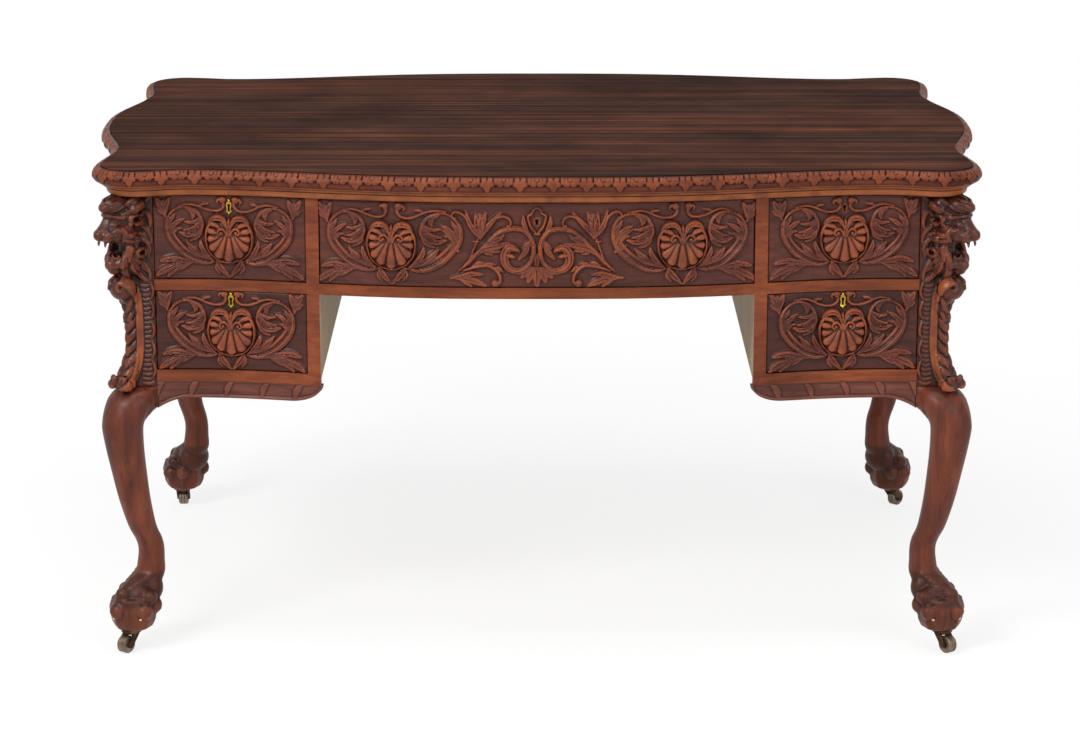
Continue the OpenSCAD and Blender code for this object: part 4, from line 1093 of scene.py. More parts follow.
def at_corners(source, label, part, material):
    """Puts a copy of a form made in the corner's frame at each of the four corners."""
    local = coords(source)
    for corner, (sx, sy) in CORNERS.items():
        mesh = source.copy()
        angle = math.atan2(sy, sx)
        c, s = math.cos(angle), math.sin(angle)
        set_coords(mesh, np.column_stack([
            local[:, 0] * c - local[:, 1] * s + sx * (SIDE_DIP - OVERHANG - POST),
            local[:, 0] * s + local[:, 1] * c + sy * (FRONT_DIP - OVERHANG - POST),
            local[:, 2],
        ]) * MM)
        finish_piece(f"{label}_{corner}", mesh, "desk", material, [f"{part}_{corner}"])


def sculpted_values(mesh, scale):
    """Stores how far each vertex of a sculpted form stands out of, or lies behind, those round it."""
    co = coords(mesh)
    away = np.column_stack([hollow_of(mesh, co[:, k], 8) for k in range(3)])
    # the material lays painted shade where the form lies behind its neighbours
    hollow = np.einsum("ij,ij->i", away, normals_of(mesh))
    put_value(mesh, "hollow", np.clip(hollow * scale, -3, 3))
    put_value(mesh, "raised", np.full(len(co), 4.0))


# ---- mouldings swept round the top -----------------------------------------------------------------

def lengths_of_edge(spacing):
    """The outline of the top in four lengths that meet at the corners, as points and outward
    directions about spacing apart, by side."""
    outline = full_outline(0)
    _, around = even(outline, len(CORNERS))
    base, _ = even(outline, len(CORNERS) * round(around / spacing / len(CORNERS)))
    tangent = np.roll(base, -1, 0) - np.roll(base, 1, 0)
    tangent /= np.linalg.norm(tangent, axis=1)[:, None]
    outward = np.column_stack([tangent[:, 1], -tangent[:, 0]])
    corner = {name: int(np.argmax(base @ place)) for name, place in CORNERS.items()}
    found = {}
    for side, start, end in (
        ("front", "front_left", "front_right"), ("right", "front_right", "rear_right"),
        ("rear", "rear_right", "rear_left"), ("left", "rear_left", "front_left"),
    ):
        first, last = corner[start], corner[end]
        if last < first:
            last += len(base)
        index = np.arange(first, last + 1) % len(base)
        found[side] = base[index], outward[index]
    return found


def sweep(name, base, outward, profile, displace=None):
    """Carries a closed profile of (inset, height) along a line of points. displace(run, length, row)
    gives how far each point stands off the plain moulding, in millimetres."""
    columns, rows = len(base) - 1, len(profile)
    bm = bmesh.new()
    bmesh.ops.create_grid(bm, x_segments=columns, y_segments=rows, size=0.5)
    mesh = mesh_from(bm, name)
    co = coords(mesh)
    i = np.rint((co[:, 0] + 0.5) * columns).astype(int)
    j = np.rint((co[:, 1] + 0.5) * rows).astype(int) % rows
    run = np.concatenate([[0], np.cumsum(np.hypot(*np.diff(base, axis=0).T))])
    outline = np.array(profile, float)
    step = np.roll(outline, -1, 0) - np.roll(outline, 1, 0)
    step /= np.maximum(np.linalg.norm(step, axis=1), 1e-9)[:, None]
    off = displace(run[i], run[-1], j) if displace else np.zeros(len(co))
    inset = outline[j, 0] - off * step[j, 1]
    height = outline[j, 1] + off * step[j, 0]
    set_coords(mesh, np.column_stack([base[i] - outward[i] * inset[:, None], height]) * MM)
    put_value(mesh, "off", off)
    # the grid's two long edges meet; its ends, each in the plane across the line, are closed
    bm = bmesh.new()
    bm.from_mesh(mesh)
    bmesh.ops.remove_doubles(bm, verts=bm.verts, dist=0.005 * MM)
    for at in (0, -1):
        along = Vector((-outward[at][1], outward[at][0]))
        ends = [e for e in bm.edges if e.is_boundary and all(
            abs((v.co.to_2d() / MM - Vector(base[at])).dot(along)) < 0.3 for v in e.verts)]
        bmesh.ops.contextual_create(bm, geom=ends)
    bmesh.ops.recalc_face_normals(bm, faces=bm.faces)
    bm.to_mesh(mesh)
    bm.free()
    return mesh


# Sections of the mouldings as (inset, height) from foot to top: the face of the top's edge, which is
# carved, and the steps of the cornice with their back
EDGE_FACE = [(7, 751), (4.6, 752.4), (2.8, 755), (2.1, 758.6), (2.3, 762.4), (3.7, 766.6), (6.4, 770.2),
             (9.6, 772.4), (12.4, 773), (14, 773)]
CORNICE = [(33, 731), (30, 731), (27.6, 731.4), (25.2, 732.6), (23.6, 734.4), (22.6, 736.8), (22, 739.4),
           (21.4, 740.6), (21.2, 741.2), (22.4, 741.6), (22.4, 742.4), (18.6, 742.8), (17.2, 744),
           (16.4, 745.6), (15.8, 746.4), (17, 746.8), (17, 747.6), (11.4, 748), (10.6, 749.2), (10.4, 751),
           (33, 751)]
# The length of one repeat of the edge's carving as it is drawn
DRAWN_PITCH = 49


def edge_section(steps):
    """The edge's closed section, and for each row of it how far down the face it is, or None."""
    face = trace(EDGE_FACE, steps)
    run = np.cumsum(np.hypot(*np.diff(face[::-1], axis=0).T))
    down = np.concatenate([run[::-1], [0]])
    return [(14, 751), (10.5, 751), *(tuple(p) for p in face), (14, 762)], [None, None, *down, None]


def edge_carving(pitch, down):
    """The carving of the edge, as sweep's displace, with repeats about pitch long."""
    on_face = np.array([d is not None for d in down])
    # off the face, a depth at which nothing is carved
    depth = np.array([60 if d is None else d for d in down])

    def displace(along, length, row):
        """How far the carving stands off the face at points along the edge, by row of the section."""
        repeat = length / round(length / pitch)
        x = (along + repeat / 2) % repeat - repeat / 2
        w = depth[row]
        carved = np.where(on_face[row], darts_and_scallops(x * DRAWN_PITCH / repeat, w - 1), 0)
        # the carving fades out towards the polished top
        return carved * (0.1 + 0.9 * smooth((w - 2) / 7))

    return displace

def darts_and_scallops(x, w):
    """Carving of the edge over one repeat: x from the middle of the dart, w down from the top."""
    f = Field(np.abs(x), -w)
    f.stroke([(0, 2, 9, 1.5), (0, -11, 9.2, 1.5), (0, -17, 7.4, 1.6), (0, -23, 4.4, 1.5),
              (0, -29, .6, .8)], "band")
    f.ball(6.6, -15, 4.4, 1.7)
    f.stroke([(13.5, 2, 3.6, 1.2), (13.5, -7, 3.8, 1.3), (13.4, -12, 3.6, 1.3)], "band")
    f.ball(19.6, -12.5, 6.4, 1.6)
    f.stroke([(20, 2, 5.6, 1.3), (19.8, -8, 5.8, 1.4)], "band")
    f.ball(24.5, -8, 3, 1.8)
    f.cut([(0, 1, 2.8, 1.6), (0, -6, 2, 1.5), (0, -13, .7, .7)])
    f.cut([(9.6, 1, .8, .9), (9.7, -6, .9, 1.1), (10.2, -11, .6, .6)])
    f.cut([(16.3, 1, .7, .7), (16.2, -6, .8, .9), (16.6, -10, .5, .5)])
    f.cut([(24.5, -12, 1, .8), (21.4, -10.5, .9, .9), (21, -6, .8, .8), (22, -3, .6, .4)])
    f.cut([(19.2, -13, .4, .3), (19.2, -16, .8, .7), (19.4, -19, .5, .4)])
    return f.h


# ---- aprons ---------------------------------------------------------------------------------------------

APRON_TOP, APRON_LOW = 437.0, 411.0
# Gadroons of an apron, from its free end or, where both ends meet a leg, from either leg
FREE_CELLS = ((4, 33), (44, 86), (95, 142), (151, 196), (206, 249))
SIDE_CELLS = [(6 + 54.5 * k, 49 + 54.5 * k) for k in range(6)]


def bend(side, u, off, z, face):
    """Places of points u across and off outward of a curved face, z up, in metres."""
    slope = face(u + 0.5) - face(u - 0.5)
    scale = np.sqrt(1 + slope ** 2)
    across, out = u - off * slope / scale, face(u) + off / scale
    x, y = {
        "front": (across, -out), "rear": (-across, out), "right": (out, across), "left": (-out, -across),
    }[side]
    return np.column_stack([x, y, z]) * MM


def apron(side, hand, start, end, step):
    """A gadrooned apron from start to end across one side. hand is the end that hangs free, -1 or 1,
    or 0 where both ends meet a leg."""
    face = face_y if side in SIDES else face_x
    mesh, front = slab_mesh("apron", round((end - start) / step), round((APRON_TOP - APRON_LOW) / step))
    co = coords(mesh)
    u = start + (co[:, 0] + 0.5) * (end - start)
    if hand:
        free, leg = (u - start, end - u)[::-hand]
        along, cells = free, FREE_CELLS
    else:
        free, leg = np.full(len(u), 1e3), np.minimum(u - start, end - u)
        along, cells = leg, SIDE_CELLS
    # the lower edge sweeps up at a free end and down to a leg
    low = APRON_LOW + 24 * (1 - np.sqrt(1 - np.clip((48 - free) / 48, 0, 0.999) ** 2))
    low -= 17 * np.clip((52 - leg) / 52, 0, 1) ** 2
    z = low + (co[:, 1] + 0.5) * (APRON_TOP - low)
    tilt = (2 * z - APRON_TOP - APRON_LOW) / (APRON_TOP - APRON_LOW)
    # how deep inside a gadroon each point lies
    deep = np.full(len(u), -99.0)
    for left, right in cells:
        inner = along - left + 8 * np.clip(tilt, 0, 1) ** 2
        outer = right - 6 * tilt - along
        deep = np.maximum(deep, np.min([inner, outer, z - low - 4.6, APRON_TOP - 1 - z], axis=0))
    # a sunk bed with a line round it and a swelling middle, then the raised rib, then the eased edges
    h = -1.5 * smooth(deep / 1.4) + 0.9 * smooth((deep - 1) / 9) - 0.9 * np.exp(-((deep - 0.4) / 0.8) ** 2)
    h += 0.5 * smooth((-deep - 0.5) / 3)
    h -= 1.2 * np.exp(-np.min([z - low, APRON_TOP - z, u - start, end - u], axis=0) / 0.8)
    in_front = np.arange(len(u)) < front
    set_coords(mesh, bend(side, u, np.where(in_front, 2.0 + h, -16), z, face))
    # hollow lets the material lay painted shade in the sunk beds; the ribs are rubbed lighter as wear
    hollow = hollow_of(mesh, np.where(in_front, h, 0), 5)
    put_value(mesh, "hollow", np.where(in_front, 1.6 * hollow, 0))
    put_value(mesh, "raised", np.full(len(u), 3.0))
    put_value(mesh, "rub", np.where(in_front, 0.35 * smooth(-deep / 1.5), 0))
    return mesh


# ---- locks ----------------------------------------------------------------------------------------------

# Places up a keyhole's plate and its half width there, from its top to its foot
PLATE = [(9.4, 0.9), (8.6, 2.3), (7.2, 3.7), (4.8, 4.7), (2.2, 4.8), (0, 4.2), (-1.8, 3.6), (-3.6, 3.7),
         (-5.6, 4.3), (-7.4, 4.6), (-8.4, 4.2), (-9.4, 0.9)]
# The rings of a plate from its outer foot over its rim to the keyhole: share of the way out from the
# keyhole, height, and distance from the keyhole's edge where there is no share
PLATE_RINGS = (
    (1, -1.6, None), (1, 0.9, None), (0.96, 1.3, None), (0.88, 1.55, None), (0.8, 1.35, None),
    (None, 1.3, 0.55), (None, 1.2, 0.2), (None, 0.8, 0), (None, -1.6, 0),
)


def polar(inside, angle, reach):
    """How far a shape that holds the middle reaches at an angle; inside(x, y) tells what it holds."""
    r = np.linspace(0.05, reach, 400)
    held = inside(r * math.cos(angle), r * math.sin(angle))
    return r[np.argmin(held)] if not held.all() else reach


def in_plate(x, y):
    """What a plate covers, its keyhole included."""
    v, w = np.array(PLATE)[::-1].T
    return (np.abs(y) < PLATE[0][0]) & (np.abs(x) < np.interp(y, v, w))


def in_key(x, y):
    """What a plate's keyhole opens: a round over a slot."""
    return (np.hypot(x, y - 2.6) < 2.15) | ((np.abs(x) < 1.4) & (y < 2.6) & (y > -6.9))


def key_plate(bm, place):
    """A cast plate with a knob at each end, pierced by the keyhole, facing +Z and moved by place."""
    count = 72
    angles = [2 * math.pi * k / count for k in range(count)]
    outer = [polar(in_plate, a, 12) for a in angles]
    inner = [polar(in_key, a, 8) for a in angles]
    rings = []
    for share, lift, key_gap in PLATE_RINGS:
        ring = []
        for a, far, near in zip(angles, outer, inner):
            r = share * far + (1 - share) * near if share else near + key_gap
            ring.append(bm.verts.new(place @ Vector((r * math.cos(a), r * math.sin(a), lift)) * MM))
        rings.append(ring)
    for k, ring in enumerate(rings):
        after = rings[(k + 1) % len(rings)]
        for i in range(count):
            n = (i + 1) % count
            bm.faces.new((ring[i], ring[n], after[n], after[i]))
    for end in (-1, 1):
        made = bmesh.ops.create_uvsphere(bm, u_segments=20, v_segments=12, radius=2.1)["verts"]
        for v in made:
            v.co = place @ Vector((v.co.x, v.co.y + end * 10.1, 0.8 * v.co.z + 0.9)) * MM


def lock_case(bm, x, back, top):
    """Case, selvedge, bolt and screws of a lock let into the back of a front that faces -Y."""
    for low, high, soft in (
        ((-22, back - 9, top - 36), (22, back, top - 1.6), 0.5),
        ((-22, back - 9, top - 1.6), (22, back - 0.2, top - 0.1), 0.25),
        ((-7, back - 7, top - 12), (7, back - 2, top - 0.05), 0.3),
    ):
        made = bmesh.ops.create_cube(bm, size=1)["verts"]
        for v in made:
            where = [(a + b) / 2 + c * (b - a) for a, b, c in zip(low, high, v.co)]
            v.co = Vector((x + where[0], -where[1], where[2])) * MM
        edges = list({e for v in made for e in v.link_edges})
        bmesh.ops.bevel(bm, geom=edges, offset=soft * MM, segments=2, profile=0.5, material=-1,
                        affect="EDGES")
    for dx, dz in ((-18, -6), (18, -6), (-18, -31), (18, -31)):
        head = Matrix.Translation(Vector((x + dx, -(back - 9.3), top + dz)) * MM)
        bmesh.ops.create_cone(bm, cap_ends=True, segments=20, radius1=2 * MM, radius2=1.5 * MM,
                              depth=0.8 * MM, matrix=head @ Matrix.Rotation(math.pi / 2, 4, "X"))


# ---- materials ---------------------------------------------------------------------------------------

def node(tree, kind, settings=None, links=None):
    """Adds a node with its settings and links. A setting is the node's own property where its name
    is in lower case and an input socket otherwise; a link comes from a (node, output) pair."""
    made = tree.nodes.new(kind)
    for key, value in (settings or {}).items():
        if str(key).islower():
            setattr(made, key, value)
        else:
            made.inputs[key].default_value = value
    for key, (source, output) in (links or {}).items():
        tree.links.new(source.outputs[output], made.inputs[key])
    return made


def rgba(value):
    """A colour for a socket, from sRGB hex or from a colour setting."""
    return (*(linear(value) if isinstance(value, str) else value), 1)


def start_material(name):
    """A new material and its empty node tree."""
    material = bpy.data.materials.new(name)
    material.use_nodes = True
    material.node_tree.nodes.clear()
    return material, material.node_tree


def set_ramp(ramp, stops):
    """Gives a colour ramp its stops of (place, colour)."""
    elements = ramp.color_ramp.elements
    while len(elements) > 1:
        elements.remove(elements[-1])
    elements[0].position, elements[0].color = stops[0][0], rgba(stops[0][1])
    for place, value in stops[1:]:
        elements.new(place).color = rgba(value)


# Real sizes of the patterns, in millimetres: a pore is drawn about three times as wide as a real one,
# so that it shows, and 22 times as long as wide
PORE_MM, PORE_LENGTHS = 0.9, 22
# Patches of faded and of darker polish, patches of hand wear on carving, and blotches of tarnish
CLOUD_MM, WEAR_MM, TARNISH_MM = 142.86, 26.316, 16.667


def mahogany(name, colours, grain_along="X", ribbon_mm=22, length_mm=240, roughness=0.42, gloss=0.12,
             sheen=0.1, bump=0.12, patch=0.35, dark=None, worn=None, rubbed=0.55):
    """Mahogany, or another wood, under old wax or polish. Ribbons and pores run along the grain;
    where dark and worn are given, dirt and painted shade lie in the hollows and the tops are rubbed lighter.
    gloss is the weight of the wax or polish and sheen the reflection of the wood under it."""
    material, tree = start_material(name)
    place = node(tree, "ShaderNodeTexCoord")
    grain = []
    for length, width in ((length_mm, ribbon_mm), (PORE_MM * PORE_LENGTHS, PORE_MM)):
        scale = [1000 / (length if axis == grain_along else width) for axis in "XYZ"]
        grain.append(node(tree, "ShaderNodeMapping", {"Scale": scale}, {"Vector": (place, "Object")}))
    ribbon = node(tree, "ShaderNodeTexNoise",
                  {"Scale": 1.0, "Detail": 5.0, "Roughness": 0.62, "Distortion": 0.35},
                  {"Vector": (grain[0], "Vector")})
    pore = node(tree, "ShaderNodeTexNoise", {"Scale": 1.0, "Detail": 3.0, "Roughness": 0.7},
                {"Vector": (grain[1], "Vector")})
    cloud = node(tree, "ShaderNodeTexNoise", {"Scale": 1000 / CLOUD_MM, "Detail": 3.0},
                 {"Vector": (place, "Object")})
    ramp = node(tree, "ShaderNodeValToRGB", {}, {"Fac": (ribbon, "Fac")})
    set_ramp(ramp, colours)
    last = (ramp, "Color")
    # pores darken the ribbons, and patches of the polish lighten or darken both; 6, 7 and 2 are a
    # colour Mix's two colours and its result
    for source, low, high, to_low, to_high in (
        (pore, 0.42, 0.64, 1.0, 0.8), (cloud, 0.3, 0.7, 1 - patch, 1 + patch * 0.5),
    ):
        amount = node(tree, "ShaderNodeMapRange",
                      {"From Min": low, "From Max": high, "To Min": to_low, "To Max": to_high},
                      {"Value": (source, "Fac")})
        mix = node(tree, "ShaderNodeMix", {"data_type": "RGBA", "blend_type": "MULTIPLY", 0: 1.0},
                   {6: last, 7: (amount, "Result")})
        last = (mix, 2)
    if worn:
        last = weathered(tree, place, last, dark, worn, rubbed)
    rough = node(tree, "ShaderNodeMapRange",
                 {"From Min": 0.3, "From Max": 0.7, "To Min": roughness - 0.08, "To Max": roughness + 0.10},
                 {"Value": (cloud, "Fac")})
    bumped = node(tree, "ShaderNodeBump", {"Strength": bump, "Distance": 0.0004}, {"Height": (pore, "Fac")})
    shader = node(tree, "ShaderNodeBsdfPrincipled",
                  {"IOR": 1.5, "Specular IOR Level": sheen, "Coat Weight": gloss,
                   "Coat Roughness": 0.9 * roughness},
                  {"Base Color": last, "Roughness": (rough, "Result"), "Normal": (bumped, "Normal")})
    node(tree, "ShaderNodeOutputMaterial", {}, {"Surface": (shader, "BSDF")})
    return material


def weathered(tree, place, last, dark, worn, rubbed):
    """Lays dirt, painted shade and wear over a carved wood's colour, from the numbers stored on its vertices:
    dirt and painted shade low on the ground and in hollows, wear on ridges and where hands go, uneven from
    place to place."""
    patches = node(tree, "ShaderNodeTexNoise", {"Scale": 1000 / WEAR_MM, "Detail": 4.0},
                   {"Vector": (place, "Object")})
    uneven = node(tree, "ShaderNodeMapRange",
                  {"From Min": 0.35, "From Max": 0.62, "To Min": 0.25, "To Max": 1.0},
                  {"Value": (patches, "Fac")})
    # ground and hollows take the dark tint as dirt and painted shade; the shade value goes near black as
    # painted shade
    for key, low, high, most, tint in (
        ("raised", 2.5, 0.2, 0.42, dark), ("hollow", 0.15, 1.2, rubbed, worn), ("rub", 0.0, 1.0, 0.8, worn),
        ("hollow", 0.0, -0.8, 0.9, dark), ("shade", 0.0, 1.0, 1.0, "#050302"),
    ):
        value = node(tree, "ShaderNodeAttribute", {"attribute_name": key})
        amount = node(tree, "ShaderNodeMapRange",
                      {"From Min": low, "From Max": high, "To Min": 0.0, "To Max": most},
                      {"Value": (value, "Fac")})
        factor = (amount, "Result")
        if tint == worn:
            product = node(tree, "ShaderNodeMath", {"operation": "MULTIPLY"},
                           {0: factor, 1: (uneven, "Result")})
            factor = (product, "Value")
        mix = node(tree, "ShaderNodeMix", {"data_type": "RGBA", 7: rgba(tint)}, {0: factor, 6: last})
        last = (mix, 2)
    return last


def brass(name, tone, tarnish, roughness, amount):
    """Cast brass, polished or dulled, with brown tarnish in patches."""
    material, tree = start_material(name)
    place = node(tree, "ShaderNodeTexCoord")
    cloud = node(tree, "ShaderNodeTexNoise", {"Scale": 1000 / TARNISH_MM, "Detail": 3.0},
                 {"Vector": (place, "Object")})
    ramp = node(tree, "ShaderNodeValToRGB", {}, {"Fac": (cloud, "Fac")})
    set_ramp(ramp, [(0.5 - amount, tone), (0.5 + amount, tarnish)])
    rough = node(tree, "ShaderNodeMapRange",
                 {"From Min": 0.3, "From Max": 0.7, "To Min": roughness, "To Max": roughness + 0.2},
                 {"Value": (cloud, "Fac")})
    bumped = node(tree, "ShaderNodeBump", {"Strength": 0.15, "Distance": 0.0003}, {"Height": (cloud, "Fac")})
    shader = node(tree, "ShaderNodeBsdfPrincipled", {"Metallic": 1.0},
                  {"Base Color": (ramp, "Color"), "Roughness": (rough, "Result"),
                   "Normal": (bumped, "Normal")})
    node(tree, "ShaderNodeOutputMaterial", {}, {"Surface": (shader, "BSDF")})
    return material


FINISHES = {}


def make_finishes():
    """Makes the desk's finishes once, under the names of the slots or of the pieces that differ."""
    if FINISHES:
        return
    c = bpy.context.scene.desk_colours
    carved = [(0.30, c.carved_dark[:]), (0.5, c.carved_mid[:]), (0.75, "#723b2d")]
    FINISHES.update({
        # red-brown fronts with a soft wax shine, painted shade near black in the cuts, and amber where hands
        # have worn them
        "drawer_wood": mahogany("waxed_carved_mahogany", carved, dark=c.carved_dark[:],
                                worn=c.carved_light[:], ribbon_mm=9, rubbed=0.7, gloss=0.22),
        # a cooler brown than the fronts, little rubbed, as it is out of reach
        "apron_wood": mahogany(
            "waxed_mahogany_aprons", [(0.3, "#44251f"), (0.5, "#5b332a"), (0.75, "#6c3f34")],
            dark="#2f1a16", worn="#8a4e38", ribbon_mm=10),
        # plain boards with quiet ribbons and no wear
        "end_wood": mahogany("waxed_mahogany_panels", carved, grain_along="Y", ribbon_mm=14),
        # the darkest and shiniest carving, with narrow warm lights on its ridges
        "griffin_wood": mahogany(
            "waxed_mahogany_sculpture", [(0.3, "#371914"), (0.5, "#4f251b"), (0.75, "#643023")],
            grain_along="Z", dark="#22100d", worn="#8a4726", ribbon_mm=14, roughness=0.34, gloss=0.26,
            rubbed=0.45),
        # a warmer brown with a dull shine, as knees and feet have worn the wax off
        "leg_wood": mahogany(
            "worn_mahogany_legs", [(0.28, "#3f1e15"), (0.5, "#632f1f"), (0.78, "#7a4029")],
            grain_along="Z", dark="#2a1713", worn="#834730", ribbon_mm=16, roughness=0.45, gloss=0.2,
            rubbed=0.35),
        # small pale points on the dark paws
        "nail_horn": mahogany(
            "pale_boxwood_nails", [(0.3, "#b98a58"), (0.5, "#d2a670"), (0.75, "#dfb988")], ribbon_mm=2,
            roughness=0.4, patch=0.1),
        # red-brown leaves with painted shade in the beds between them and almost no shine
        "edge_wood": mahogany(
            "waxed_mahogany_edge", [(0.3, "#452219"), (0.5, "#5c2e22"), (0.75, "#6e3b2a")],
            dark="#27130f", worn="#8c4a2c", ribbon_mm=7, rubbed=0.5, gloss=0.07, sheen=0.05),
        # the lightest mahogany, with fine straight ribbons
        "rail_wood": mahogany(
            "waxed_mahogany_rails", [(0.28, c.rail_dark[:]), (0.52, "#773c22"), (0.75, c.rail_light[:])],
            ribbon_mm=8, roughness=0.4),
        # bands rubbed to orange-brown, the upper one partly as painted light, with painted shade in the
        # quirks between them
        "cornice_wood": mahogany(
            "waxed_mahogany_cornice", [(0.3, "#5f3022"), (0.52, "#7a412b"), (0.75, "#8e5034")],
            dark="#23110d", worn="#98572d", ribbon_mm=6),
        # long dark streaks with a few red-brown ones, under a worn polish that dulls the lights
        "top_wood": mahogany(
            "polished_mahogany_top",
            [(0.30, "#251a16"), (0.46, c.top_dark[:]), (0.56, c.top_light[:]), (0.68, "#5c3324"),
             (0.80, "#7a4426")],
            ribbon_mm=13, length_mm=700, gloss=0.05, sheen=0.0, patch=0.4),
        # pale, greyish and quite dull
        "lining_wood": mahogany(
            "bare_poplar_lining", [(0.3, "#7f6c58"), (0.5, "#9c8768"), (0.75, "#b09a79")],
            grain_along="Z", ribbon_mm=10, roughness=0.6, gloss=0.0, bump=0.2),
        # pale, yellowish and dull, with open pores
        "inner_wood": mahogany(
            "bare_oak_drawer_lining", [(0.3, "#8a6c48"), (0.5, "#a08358"), (0.75, "#b59a6c")],
            grain_along="Y", ribbon_mm=8, roughness=0.62, gloss=0.0, bump=0.25),
        # bright yellow metal with soft brown blotches
        "lock_brass": brass("polished_brass_escutcheon", "#cba640", "#8f6f28", 0.28, 0.2),
        # dull brown metal with dark blotches
        "socket_brass": brass("dull_brass_socket", "#6b5533", "#3f3122", 0.42, 0.12),
        # the darkest metal, brown from floor dirt
        "horn_metal": brass("dark_brass_horn", "#5b4632", "#33261d", 0.42, 0.12),
        # greyish metal, scuffed light by the floor
        "wheel_brass": brass("worn_brass_wheel", "#8d7b6c", "#5c4d43", 0.4, 0.16),
    })
    # for the frame's own aprons, which the gadrooned ones replace
    FINISHES["carved_wood"] = FINISHES["drawer_wood"]


def dress_carcase():
    """Gives every part kept from the frame its finish."""
    for subpart in frame["record"]["subparts"]:
        name, slot = subpart["node"], subpart["material_slot"]
        part = frame["nodes"][name]
        material = FINISHES["end_wood" if name.startswith("end_panel") else slot]
        if not part.material_slots:
            part.data.materials.append(material)
        for place in part.material_slots:
            place.material = material


def background_rays(tree):
    """A node that gives 1 to the rays that show the background: the camera's own, and those that
    metal or glass would show it by."""
    path = node(tree, "ShaderNodeLightPath")
    either = node(tree, "ShaderNodeMath", {"operation": "MAXIMUM"},
                  {0: (path, "Is Camera Ray"), 1: (path, "Is Transmission Ray")})
    return node(tree, "ShaderNodeMath", {"operation": "MAXIMUM"},
                {0: (either, 0), 1: (path, "Is Glossy Ray")})


# ---- operators ------------------------------------------------------------------------------------------

class DESK_OT_stage(bpy.types.Operator):
    """Makes the studio: pale floor, soft lights and the camera"""
    bl_idname = "desk.stage"
    bl_label = "Studio"

    def execute(self, context):
        scene = context.scene
        scene.view_settings.view_transform = "Standard"
        self.lay_floor(scene)
        self.light_world(scene)
        for name, spot, aim, size, power in (
            ("key_softbox", (-2.2, -3.0, 3.1), (0, 0, 0.5), (1.5, 1.1), 132),
            ("fill_softbox", (2.6, -3.2, 2.0), (0, 0, 0.45), (2.4, 1.8), 45),
            ("top_softbox", (0.0, -0.6, 3.4), (0, 0, 0.6), (2.4, 1.4), 66),
        ):
            lamp = bpy.data.lights.new(name, "AREA")
            lamp.shape = "RECTANGLE"
            lamp.size, lamp.size_y = size
            lamp.energy = power
            holder = new_object(name, lamp)
            holder.location = spot
            holder.rotation_euler = (Vector(aim) - Vector(spot)).to_track_quat("-Z", "Y").to_euler()
        camera = bpy.data.cameras.new("camera")
        camera.sensor_width = 36
        camera.lens = 111.87
        camera.shift_x = 0.00287
        camera.clip_end = 100
        scene.camera = new_object("camera", camera)
        scene.camera.location = (0, -5.411, 1.746)
        scene.camera.rotation_euler = (math.radians(90 - 14.51), 0, 0)
        return {"FINISHED"}

    def lay_floor(self, scene):
        """A floor that is matt near the desk, to take its shadow, and fades into plain white."""
        bm = bmesh.new()
        bmesh.ops.create_grid(bm, x_segments=1, y_segments=1, size=30)
        mesh = mesh_from(bm, "studio_floor")
        floor = new_object("studio_floor", mesh)
        material, tree = start_material("pale_studio_floor")
        place = node(tree, "ShaderNodeTexCoord")
        matt = node(tree, "ShaderNodeBsdfDiffuse", {"Color": rgba(scene.desk_colours.floor[:])})
        glow = node(tree, "ShaderNodeEmission", {"Color": (1, 1, 1, 1), "Strength": 1.0})
        reach = node(tree, "ShaderNodeVectorMath", {"operation": "LENGTH"}, {0: (place, "Object")})
        fade = node(tree, "ShaderNodeMapRange",
                    {"interpolation_type": "SMOOTHSTEP", "From Min": 0.9, "From Max": 1.9, "To Min": 0.82},
                    {"Value": (reach, "Value")})
        factor = node(tree, "ShaderNodeMath", {"operation": "MULTIPLY"},
                      {0: (background_rays(tree), 0), 1: (fade, "Result")})
        mix = node(tree, "ShaderNodeMixShader", {}, {0: (factor, 0), 1: (matt, 0), 2: (glow, 0)})
        node(tree, "ShaderNodeOutputMaterial", {}, {"Surface": (mix, 0)})
        mesh.materials.append(material)

    def light_world(self, scene):
        """A world that is white where it is seen and gives the desk less than half of that light."""
        world = bpy.data.worlds.new("studio_light")
        scene.world = world
        world.use_nodes = True
        tree = world.node_tree
        tree.nodes.clear()
        strength = node(tree, "ShaderNodeMapRange", {"To Min": 0.4, "To Max": 1.0},
                        {"Value": (background_rays(tree), 0)})
        back = node(tree, "ShaderNodeBackground", {"Color": (1, 1, 1, 1)}, {"Strength": (strength, 0)})
        node(tree, "ShaderNodeOutputWorld", {}, {"Surface": (back, 0)})


class DESK_OT_carcase(bpy.types.Operator):
    """Finishes the boards, rails, linings and casters that come with the frame"""
    bl_idname = "desk.carcase"
    bl_label = "Carcase"

    def execute(self, context):
        make_finishes()
        dress_carcase()
        return {"FINISHED"}


class DESK_OT_drawer_fronts(bpy.types.Operator):
    """Carves the ten drawer fronts with their shell pulls"""
    bl_idname = "desk.drawer_fronts"
    bl_label = "Drawer fronts"

    def execute(self, context):
        make_finishes()
        sizes = context.scene.desk_sizes
        heights = [s / MM for s in (sizes.carving_height, sizes.shell_height, sizes.ground_depth)]
        for side in SIDES:
            for number, spot in enumerate(SPOTS):
                drawer = Drawer(side, spot)
                step = (sizes.centre_step if drawer.centre else sizes.small_step) / MM
                mesh = drawer_front(drawer, step, heights, 17 * number + (5 if drawer.turned else 0))
                finish_piece(f"carved_{drawer.name}", mesh, f"{drawer.name}_drawer",
                             FINISHES["drawer_wood"], [f"{drawer.name}_front"], 50)
        return {"FINISHED"}


